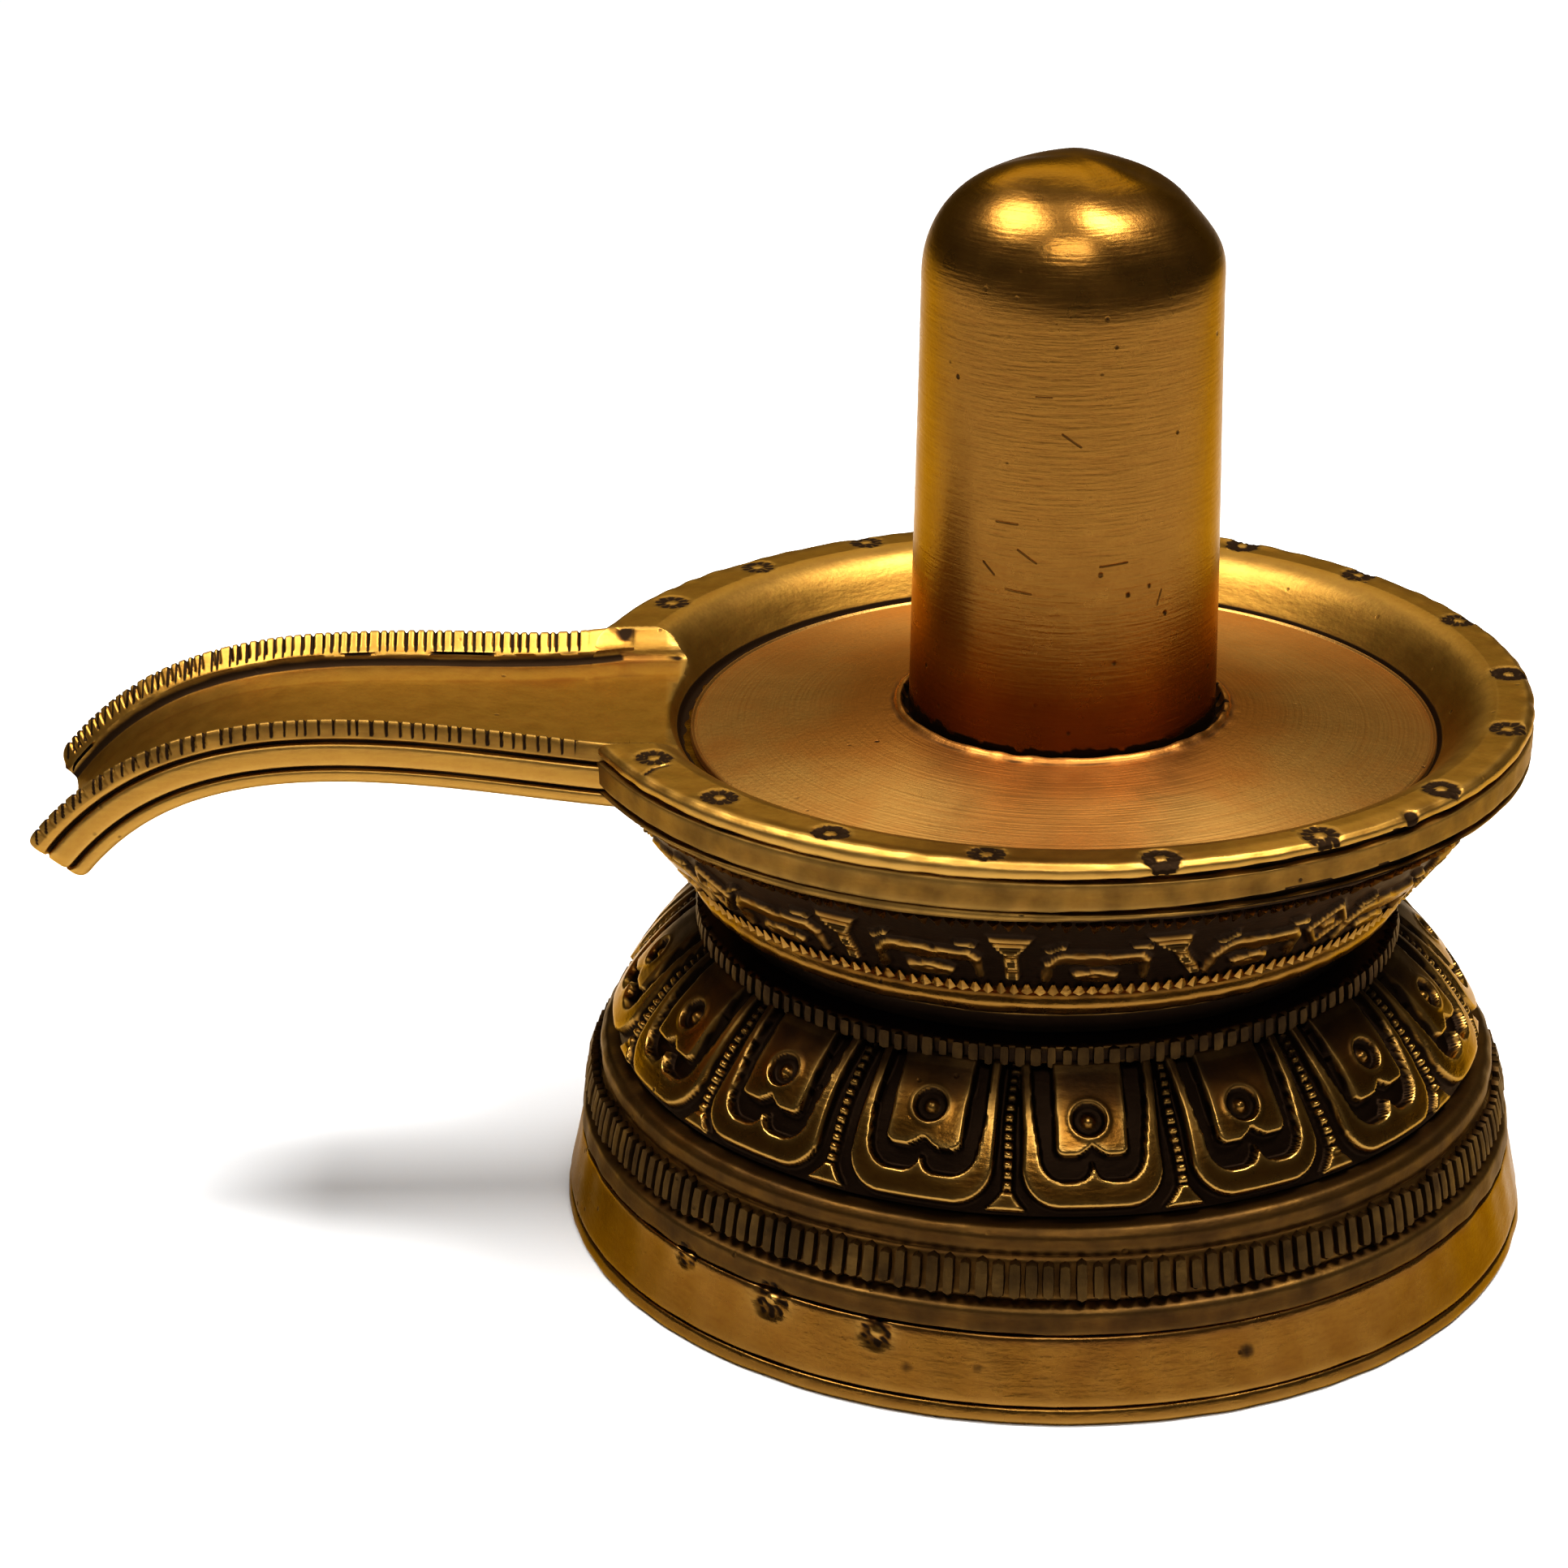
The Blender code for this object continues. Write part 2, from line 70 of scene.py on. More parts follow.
class Flow:
    """A value on a shader socket, which takes part in Python arithmetic."""

    def __init__(self, graph: "Graph", socket: bpy.types.NodeSocket) -> None:
        """Wraps one output socket of a graph."""
        self.graph = graph
        self.socket = socket

    def math(self, operation: str, first: Value, second: Value = 0.0) -> "Flow":
        """Adds one Math node that works on two values."""
        return self.graph.add("ShaderNodeMath", {"operation": operation}, {0: first, 1: second})

    def __add__(self, other: Value) -> "Flow":
        """This value plus another."""
        return self.math("ADD", self, other)

    __radd__ = __add__

    def __sub__(self, other: Value) -> "Flow":
        """This value less another."""
        return self.math("SUBTRACT", self, other)

    def __rsub__(self, other: Value) -> "Flow":
        """Another value less this one."""
        return self.math("SUBTRACT", other, self)

    def __mul__(self, other: Value) -> "Flow":
        """This value times another."""
        return self.math("MULTIPLY", self, other)

    __rmul__ = __mul__

    def __abs__(self) -> "Flow":
        """This value without its sign."""
        return self.math("ABSOLUTE", self)

    def most(self, other: Value) -> "Flow":
        """The larger of two values."""
        return self.math("MAXIMUM", self, other)

    def ramp(self, low: float, high: float) -> "Flow":
        """Rises smoothly from 0 at low to 1 at high, or falls where low is above high.

        Args:
            low: the value that gives 0.
            high: the value that gives 1.

        Returns:
            The eased share between them, held between 0 and 1.
        """
        inputs = {"Value": self, "From Min": min(low, high), "From Max": max(low, high)}
        risen = self.graph.add("ShaderNodeMapRange", {"interpolation_type": "SMOOTHSTEP"}, inputs)
        return risen if low < high else 1.0 - risen


class Graph:
    """The node graph of one material."""

    def __init__(self, name: str) -> None:
        """Starts a material with an empty graph.

        Args:
            name: the material's name.
        """
        self.material = bpy.data.materials.new(name)
        self.material.use_nodes = True
        self.tree = self.material.node_tree
        self.tree.nodes.clear()

    def add(self, kind: str, settings: dict[str, Any], inputs: dict[Any, Value], output: Any = 0) -> Flow:
        """Adds a node.

        Args:
            kind: the node's type.
            settings: its own settings, which are set first.
            inputs: values or links, by the name or number of their sockets.
            output: the name or number of the socket that is passed on.

        Returns:
            The chosen output.
        """
        node = self.tree.nodes.new(kind)
        for key, value in settings.items():
            setattr(node, key, value)
        for key, value in inputs.items():
            if isinstance(value, Flow):
                self.tree.links.new(value.socket, node.inputs[key])
            else:
                node.inputs[key].default_value = value
        return Flow(self, node.outputs[output])

    def place(self) -> Flow:
        """The point on the piece, in metres."""
        return self.add("ShaderNodeTexCoord", {}, {}, "Object")

    def axis(self, point: Flow, name: str) -> Flow:
        """One coordinate of a point."""
        return self.add("ShaderNodeSeparateXYZ", {}, {0: point}, name)

    def stretched(self, point: Flow, scale: tuple[float, float, float]) -> Flow:
        """A point with each coordinate multiplied."""
        return self.add("ShaderNodeVectorMath", {"operation": "MULTIPLY"}, {0: point, 1: scale})

    def noise(self, point: Flow, scale: float, detail: float = 2.0) -> Flow:
        """Cloudy noise from 0 to 1 round a point."""
        inputs = {"Vector": point, "Scale": scale, "Detail": detail}
        return self.add("ShaderNodeTexNoise", {}, inputs)

    def attribute(self, name: str) -> Flow:
        """A number stored on the piece's points."""
        return self.add("ShaderNodeAttribute", {"attribute_name": name}, {}, "Fac")

    def blend(self, share: Value, first: Value, second: Value) -> Flow:
        """The first colour where share is 0, the second where it is 1."""
        inputs = {0: share, 6: first, 7: second}
        return self.add("ShaderNodeMix", {"data_type": "RGBA"}, inputs, 2)

    def finish(self, shader: Flow) -> None:
        """Joins a shader to the material's output."""
        output = self.tree.nodes.new("ShaderNodeOutputMaterial")
        self.tree.links.new(shader.socket, output.inputs["Surface"])


class Marks(Enum):
    """The marks that the maker's tools left in the metal."""

    FILED = "short strokes of a file and a cloth"
    ROUND = "fine strokes round an upright pillar"
    LATHE = "rings cut on a lathe"


@dataclass(frozen=True)
class Nick:
    """A short dark scratch on the pillar.

    Attributes:
        turn: its direction from the axis, in degrees.
        height: how high its middle is, in metres.
        length: its length, in metres.
        slant: its slope, in degrees, rising to the right.
        width: half its width, in metres.
    """

    turn: float
    height: float
    length: float
    slant: float
    width: float = 0.00015


@dataclass(frozen=True)
class BrassFinish:
    """Worn cast brass, dark in its hollows and polished on what stands proud.

    Attributes:
        name: the material's name.
        gold: colour of the polished metal.
        copper: colour of its redder patches.
        patina_and_shade: colour of the old dirt in the hollows, and of the painted shade.
        roughness: how matt the polished metal is.
        redness: how far the redder patches reach, 0 to 1.
        grime_and_shade: how far the dark of the hollows, dirt and painted shade alike, spreads out of
            them, 0 to 1.
        marks: what its tools left.
        strength: how deep the tool marks look.
        centre_x: where the axis of the round marks stands, in metres.
        rim_tint: tint of the metal where it is seen at a flat angle.
        brushed: how far its turned marks spread the highlights, 0 to 1.
        nicks: scratches with a place of their own.
    """

    name: str
    gold: Colour
    copper: Colour
    patina_and_shade: Colour
    roughness: float
    redness: float
    grime_and_shade: float
    marks: Marks
    strength: float
    centre_x: float = 0.0
    rim_tint: Colour = (0.84, 0.63, 0.40, 1.0)
    brushed: float = 0.0
    nicks: tuple[Nick, ...] = ()

    def strokes(self, graph: Graph, point: Flow) -> Flow:
        """The pattern of the tool marks.

        Args:
            graph: the material's graph.
            point: the point on the piece.

        Returns:
            The marks' height, about 0 to 1.
        """
        if self.marks is Marks.ROUND:
            return graph.noise(graph.stretched(point, (1.0, 1.0, 13.0)), 190.0, 4.0)
        if self.marks is Marks.LATHE:
            inputs = {0: self.radius(graph, point) * 2600.0, 1: self.turn(graph, point) * 1.3}
            return graph.noise(graph.add("ShaderNodeCombineXYZ", {}, inputs), 1.0, 3.0)
        return graph.noise(graph.stretched(point, (1.0, 1.0, 4.0)), 420.0, 3.0)

    def radius(self, graph: Graph, point: Flow) -> Flow:
        """Distance from the axis of the round marks.

        Args:
            graph: the material's graph.
            point: the point on the piece.

        Returns:
            The distance, in metres.
        """
        across = graph.axis(point, "X") - self.centre_x
        deep = graph.axis(point, "Y")
        return graph.add("ShaderNodeMath", {"operation": "SQRT"}, {0: across * across + deep * deep})

    def turn(self, graph: Graph, point: Flow) -> Flow:
        """Direction from the axis of the round marks, in radians."""
        across = graph.axis(point, "X") - self.centre_x
        return across.math("ARCTAN2", graph.axis(point, "Y"), across)

    def scratches(self, graph: Graph, point: Flow) -> Flow:
        """The pillar's own nicks.

        Args:
            graph: the material's graph.
            point: the point on the piece.

        Returns:
            1 inside a nick and 0 elsewhere.
        """
        turn = self.turn(graph, point)
        height = graph.axis(point, "Z")
        radius = self.radius(graph, point)
        found = None
        for nick in self.nicks:
            slant = math.radians(nick.slant)
            across = (turn - math.radians(nick.turn)) * radius
            up = height - nick.height
            along = across * math.cos(slant) + up * math.sin(slant)
            beside = up * math.cos(slant) - across * math.sin(slant)
            beyond = (abs(along) - nick.length / 2).most(0.0)
            gap = abs(beside) + beyond
            mark = gap.ramp(nick.width, nick.width * 0.3)
            found = mark if found is None else found.most(mark)
        return found

    def build(self) -> bpy.types.Material:
        """Builds the material.

        Returns:
            A metal whose colour, gloss and relief vary over the piece.
        """
        graph = Graph(self.name)
        point = graph.place()
        cloud = graph.noise(point, CLOUD_SCALE)
        mottle = graph.noise(point, MOTTLE_SCALE, 4.0)
        grain = graph.noise(point, GRAIN_SCALE)
        strokes = self.strokes(graph, point)
        # The recess values hold the patina and dirt of the hollows and, on some pieces, painted shade; all
        # of it is painted in the patina colour.
        dirt = (graph.attribute("recess_and_shade") + (mottle - 0.5) * (0.5 * self.grime_and_shade)).ramp(0.12, 0.62)
        pits = graph.add("ShaderNodeTexVoronoi", {}, {"Vector": point, "Scale": PIT_SCALE}, "Distance")
        pits = pits.ramp(0.13, 0.05) * graph.noise(point, PATCH_SCALE).ramp(0.52, 0.62)
        if self.nicks:
            pits = pits.most(self.scratches(graph, point) * (mottle * 1.5 - 0.2))
        dirt = dirt.most(pits * 0.9)
        ruddy = cloud * 0.7 + mottle * 0.3 + graph.attribute("copper")
        red = ruddy.ramp(0.85 - self.redness, 1.05 - 0.5 * self.redness)
        metal = graph.blend(red, self.gold, self.copper)
        shade = graph.blend((strokes * 0.6 + grain * 0.4).ramp(0.62, 0.3) * 0.35, metal, self.copper)
        bright = graph.blend(graph.attribute("edge") * 0.45, shade, RUBBED_GOLD)
        colour = graph.blend(dirt, bright, self.patina_and_shade)
        gloss = self.roughness + (mottle - 0.5) * 0.14 + dirt * 0.22
        relief = strokes * (0.6 * self.strength) + grain * (0.25 * self.strength) + mottle * 0.3 - pits
        inputs = {"Strength": 0.6, "Distance": 0.00012, "Height": relief}
        normal = graph.add("ShaderNodeBump", {}, inputs)
        surface = {
            "Base Color": colour,
            "Metallic": 1.0 - dirt * 0.2,
            "Roughness": gloss,
            "Normal": normal,
            "Specular Tint": self.rim_tint,
            "Anisotropic": self.brushed,
            "Anisotropic Rotation": 0.25,
        }
        shader = graph.add("ShaderNodeBsdfPrincipled", {}, surface)
        graph.finish(shader)
        return graph.material


# Mesh tools


def eased(distance: np.ndarray, width: float) -> np.ndarray:
    """Rises smoothly from 0 to 1 while a distance goes from 0 to a width."""
    share = np.clip(distance / width, 0.0, 1.0)
    return share * share * (3.0 - 2.0 * share)


def to_segment(across: np.ndarray, up: np.ndarray, start: tuple, end: tuple) -> np.ndarray:
    """Distance of many points from one straight segment.

    Args:
        across: the points' first coordinate.
        up: the points' second coordinate.
        start: one end of the segment.
        end: its other end.

    Returns:
        The distances, in the points' own unit.
    """
    run = np.subtract(end, start)
    share = ((across - start[0]) * run[0] + (up - start[1]) * run[1]) / (run @ run)
    share = np.clip(share, 0.0, 1.0)
    return np.hypot(across - start[0] - share * run[0], up - start[1] - share * run[1])


def rounded_inside(beside: np.ndarray, above: np.ndarray, corner: float) -> np.ndarray:
    """How far points lie inside a form whose side and foot meet in a round corner.

    Args:
        beside: distance inside its side.
        above: distance over its foot.
        corner: the corner's radius.

    Returns:
        The distance from the nearest edge, below 0 outside.
    """
    past = corner - np.stack([beside, above + 0.0 * beside])
    rounded = corner - np.hypot(np.maximum(past[0], 0.0), np.maximum(past[1], 0.0))
    return np.where((past > 0).all(axis=0), rounded, np.minimum(beside, above))


def apart(turn: np.ndarray, middle: float) -> np.ndarray:
    """The turn from one direction to others, between minus and plus half a turn."""
    return (turn - middle + math.pi) % FULL_TURN - math.pi


def length_along(line: np.ndarray) -> np.ndarray:
    """The way along a line from its start to each of its points."""
    return np.concatenate([[0.0], np.cumsum(np.hypot(*np.diff(line, axis=0).T))])


def flower(
    across: np.ndarray, up: np.ndarray, size: float, strokes: int, phase: float, ground: float
) -> np.ndarray:
    """One punched flower: strokes round a small boss.

    Args:
        across: distance to one side of its middle.
        up: distance to the other side.
        size: the flower's radius.
        strokes: how many strokes go round.
        phase: how far the first one is turned, in radians.
        ground: how deep it is between the strokes, as a share.

    Returns:
        Its depth at each point, 0 to 1.
    """
    far = np.hypot(across, up)
    stroke = 0.5 + 0.5 * np.cos(strokes * np.arctan2(up, across) + phase)
    ring = eased(size - far, 0.0004) * eased(far - 0.0005, 0.0003)
    return ring * (ground + (1 - ground) * stroke)


class Wobble:
    """A slow unevenness over a surface, the same on each run."""

    def __init__(self, seed: int, waves: int, reach: float) -> None:
        """Draws the waves.

        Args:
            seed: which unevenness it is.
            waves: how many waves are added.
            reach: the most waves round one turn, and per 0.1 m.
        """
        draw = np.random.default_rng(seed)
        self.turns = draw.integers(1, max(2, int(reach)), waves)
        self.rises = draw.uniform(-10.0, 10.0, waves) * reach
        self.phases = draw.uniform(0.0, FULL_TURN, waves)

    def at(self, turn: np.ndarray, height: np.ndarray) -> np.ndarray:
        """The unevenness at some directions and heights.

        Args:
            turn: the directions, in radians.
            height: the heights, in metres.

        Returns:
            Values from about -1 to 1.
        """
        total = 0.0
        for turns, rise, phase in zip(self.turns, self.rises, self.phases):
            total = total + np.sin(turns * turn + rise * height + phase)
        return total / math.sqrt(len(self.turns))


class Outline:
    """A turned profile: from the axis on top, down the outside, to the axis below."""

    def __init__(self, radius: float, height: float) -> None:
        """Starts the profile at one point."""
        self.points = [(radius, height)]

    def to(self, radius: float, height: float, step: float = 0.0005) -> "Outline":
        """Draws a straight run to a point.

        Args:
            radius: the run's end, from the axis.
            height: its height.
            step: the most distance between two points on it.

        Returns:
            The outline itself.
        """
        start = np.array(self.points[-1])
        run = np.array((radius, height)) - start
        count = max(1, math.ceil(np.hypot(*run) / step))
        self.points += [tuple(start + run * i / count) for i in range(1, count + 1)]
        return self

    def groove(self, radius: float, foot: float, width: float, depth: float, flat: float) -> "Outline":
        """Draws an incised line, from its top edge down to its foot.

        Args:
            radius: the surface that it is cut in, from the axis.
            foot: the height of its lower edge.
            width: its upright size.
            depth: how deep it is cut.
            flat: how much of its width is as deep as that, 0 to 1.

        Returns:
            The outline itself.
        """
        fine = 0.00012
        deep = radius - depth
        self.to(radius, foot + width, 0.0004).to(deep, foot + width * (1 + flat) / 2, fine)
        return self.to(deep, foot + width * (1 - flat) / 2, fine).to(radius, foot, fine)

    def softened(self, passes: int) -> np.ndarray:
        """Eases the corners.

        Args:
            passes: how many times each point moves towards its neighbours.

        Returns:
            Radius and height of each point.
        """
        line = np.array(self.points)
        for _ in range(passes):
            line[1:-1] = (line[:-2] + 2 * line[1:-1] + line[2:]) / 4
        return line


def outward(line: np.ndarray) -> np.ndarray:
    """The outward direction at each point of a profile.

    Args:
        line: radius and height of each point.

    Returns:
        A direction of length 1 for each point.
    """
    along = np.gradient(line, axis=0)
    across = np.stack([-along[:, 1], along[:, 0]], axis=1)
    return across / np.maximum(np.hypot(across[:, 0], across[:, 1]), 1e-9)[:, None]


def turned(line: np.ndarray, columns: int, lift: Any = 0.0, centre_x: float = 0.0) -> np.ndarray:
    """Turns a profile round the upright axis.

    Args:
        line: radius and height of each row.
        columns: how many columns go round.
        lift: how far each point stands out of the turned surface, in metres.
        centre_x: where the axis stands.

    Returns:
        The points, as rows of columns.
    """
    turn = columns_round(columns)
    out = outward(line)
    radius = line[:, :1] + out[:, :1] * lift
    height = line[:, 1:] + out[:, 1:] * lift + 0.0 * turn
    return np.stack([centre_x + radius * np.cos(turn), radius * np.sin(turn), height], axis=2)


def columns_round(columns: int) -> np.ndarray:
    """The direction of each column, in radians."""
    return np.arange(columns)[None, :] * (FULL_TURN / columns)


def closed_mesh(name: str, skin: np.ndarray) -> bpy.types.Mesh:
    """Makes a mesh from rows of columns and closes both ends.

    Args:
        name: the mesh's name.
        skin: the points, as rows of columns, each row once round.

    Returns:
        A closed mesh whose faces point outwards.
    """
    rows, columns, _ = skin.shape
    ends = np.stack([skin[0].mean(axis=0), skin[-1].mean(axis=0)])
    points = np.concatenate([skin.reshape(-1, 3), ends])
    here = np.arange(columns)
    after = (here + 1) % columns
    step = (np.arange(rows - 1) * columns)[:, None]
    quads = np.stack([step + here, step + columns + here, step + columns + after, step + after], axis=2)
    first = np.stack([np.full(columns, rows * columns), here, after], axis=1)
    base = (rows - 1) * columns
    last = np.stack([np.full(columns, rows * columns + 1), base + after, base + here], axis=1)
    corners = np.concatenate([quads.reshape(-1), first.reshape(-1), last.reshape(-1)])
    sizes = np.concatenate([np.full((rows - 1) * columns, 4), np.full(2 * columns, 3)])
    mesh = bpy.data.meshes.new(name)
    mesh.vertices.add(len(points))
    mesh.vertices.foreach_set("co", points.astype(np.float32).ravel())
    mesh.loops.add(len(corners))
    mesh.loops.foreach_set("vertex_index", corners.astype(np.int32))
    mesh.polygons.add(len(sizes))
    mesh.polygons.foreach_set("loop_start", (np.cumsum(sizes) - sizes).astype(np.int32))
    mesh.update(calc_edges=True)
    return mesh


def points_of(mesh: bpy.types.Mesh) -> np.ndarray:
    """The mesh's points.

    Args:
        mesh: the mesh to read.

    Returns:
        Three coordinates for each point.
    """
    points = np.empty(len(mesh.vertices) * 3, np.float32)
    mesh.vertices.foreach_get("co", points)
    return points.reshape(-1, 3).astype(float)


def set_points(mesh: bpy.types.Mesh, points: np.ndarray) -> None:
    """Moves the mesh's points."""
    mesh.vertices.foreach_set("co", points.astype(np.float32).ravel())
    mesh.update()


def store(mesh: bpy.types.Mesh, name: str, values: np.ndarray) -> None:
    """Stores a number on each point of a mesh, for the material."""
    attribute = mesh.attributes.get(name) or mesh.attributes.new(name, "FLOAT", "POINT")
    attribute.data.foreach_set("value", values.astype(np.float32))


def stored(mesh: bpy.types.Mesh, name: str) -> np.ndarray:
    """Reads what was stored on a mesh.

    Args:
        mesh: the mesh to read.
        name: the name that the numbers were stored by.

    Returns:
        A number for each point.
    """
    values = np.empty(len(mesh.vertices), np.float32)
    mesh.attributes[name].data.foreach_get("value", values)
    return values.astype(float)


def store_over(mesh: bpy.types.Mesh, least: np.ndarray) -> None:
    """Raises a marked mesh's recess values to at least the given ones."""
    store(mesh, "recess_and_shade", np.clip(np.maximum(stored(mesh, "recess_and_shade"), least), 0.0, 1.0))


def polish(mesh: bpy.types.Mesh, where: np.ndarray) -> None:
    """Smooths the marks of one part of a marked mesh, and reddens its hollows.

    Args:
        mesh: the marked mesh.
        where: whether each point lies in the smooth part.
    """
    hollows = stored(mesh, "recess_and_shade")
    store(mesh, "recess_and_shade", hollows * (1 - 0.75 * where))
    store(mesh, "edge", stored(mesh, "edge") * (1.0 - where))
    store(mesh, "copper", 0.3 * eased(hollows, 0.5))


def mark_relief(mesh: bpy.types.Mesh, passes: int, depth: float) -> None:
    """Stores how far each point lies in a hollow, and how far it stands proud, 0 to 1.

    Args:
        mesh: the mesh to read and to mark.
        passes: how many times its surroundings are averaged.
        depth: the depth that counts as fully sunk.
    """
    points = points_of(mesh)
    ends = np.empty(len(mesh.edges) * 2, np.int32)
    mesh.edges.foreach_get("vertices", ends)
    first, second = ends.reshape(-1, 2).T
    count = len(points)
    shares = np.bincount(first, minlength=count) + np.bincount(second, minlength=count)
    soft = points.copy()
    for _ in range(passes):
        for axis in range(3):
            ahead = np.bincount(first, soft[second, axis], count)
            behind = np.bincount(second, soft[first, axis], count)
            soft[:, axis] = (soft[:, axis] + (ahead + behind) / np.maximum(shares, 1)) / 2
    normals = np.empty(count * 3, np.float32)
    mesh.vertex_normals.foreach_get("vector", normals)
    sunk = ((soft - points) * normals.reshape(-1, 3)).sum(axis=1) / depth
    store(mesh, "recess_and_shade", np.clip(sunk, 0.0, 1.0))
    store(mesh, "edge", np.clip(-sunk, 0.0, 1.0))


def show(
    name: str, mesh: bpy.types.Mesh, finish: bpy.types.Material, sharp: float = 50.0
) -> bpy.types.Object:
    """Puts a finished mesh in the scene.

    Args:
        name: the piece's name.
        mesh: its mesh, in place.
        finish: its material.
        sharp: the angle above which an edge stays hard, in degrees.

    Returns:
        The new object.
    """
    mesh.name = name
    mesh.materials.clear()
    mesh.materials.append(finish)
    mesh.shade_smooth()
    mesh.set_sharp_from_angle(angle=math.radians(sharp))
    piece = bpy.data.objects.new(name, mesh)
    bpy.context.scene.collection.objects.link(piece)
    return piece


def evaluated_mesh(piece: bpy.types.Object) -> bpy.types.Mesh:
    """The mesh that an object's modifiers give."""
    graph = bpy.context.evaluated_depsgraph_get()
    return bpy.data.meshes.new_from_object(piece.evaluated_get(graph), depsgraph=graph)


def combined(first: bpy.types.Mesh, second: bpy.types.Mesh, operation: str) -> bpy.types.Mesh:
    """Joins one closed mesh to another, or cuts it.

    Args:
        first: the mesh that is kept.
        second: the mesh that is joined to it or cut from it.
        operation: UNION or DIFFERENCE.

    Returns:
        The resulting mesh.
    """
    kept = bpy.data.objects.new("kept", first)
    tool = bpy.data.objects.new("tool", second)
    for piece in (kept, tool):
        bpy.context.scene.collection.objects.link(piece)
    cut = kept.modifiers.new("cut", "BOOLEAN")
    cut.operation = operation
    cut.solver = "MANIFOLD"
    cut.object = tool
    mesh = evaluated_mesh(kept)
    for piece in (kept, tool):
        bpy.data.objects.remove(piece)
    return mesh


# Rings of small raised studs


class StudShape(Enum):
    """The forms that repeat round the piece."""

    BAR = "an upright rounded bar"
    TOOTH_UP = "a small tooth that points up"
    TOOTH_DOWN = "a small tooth that points down"


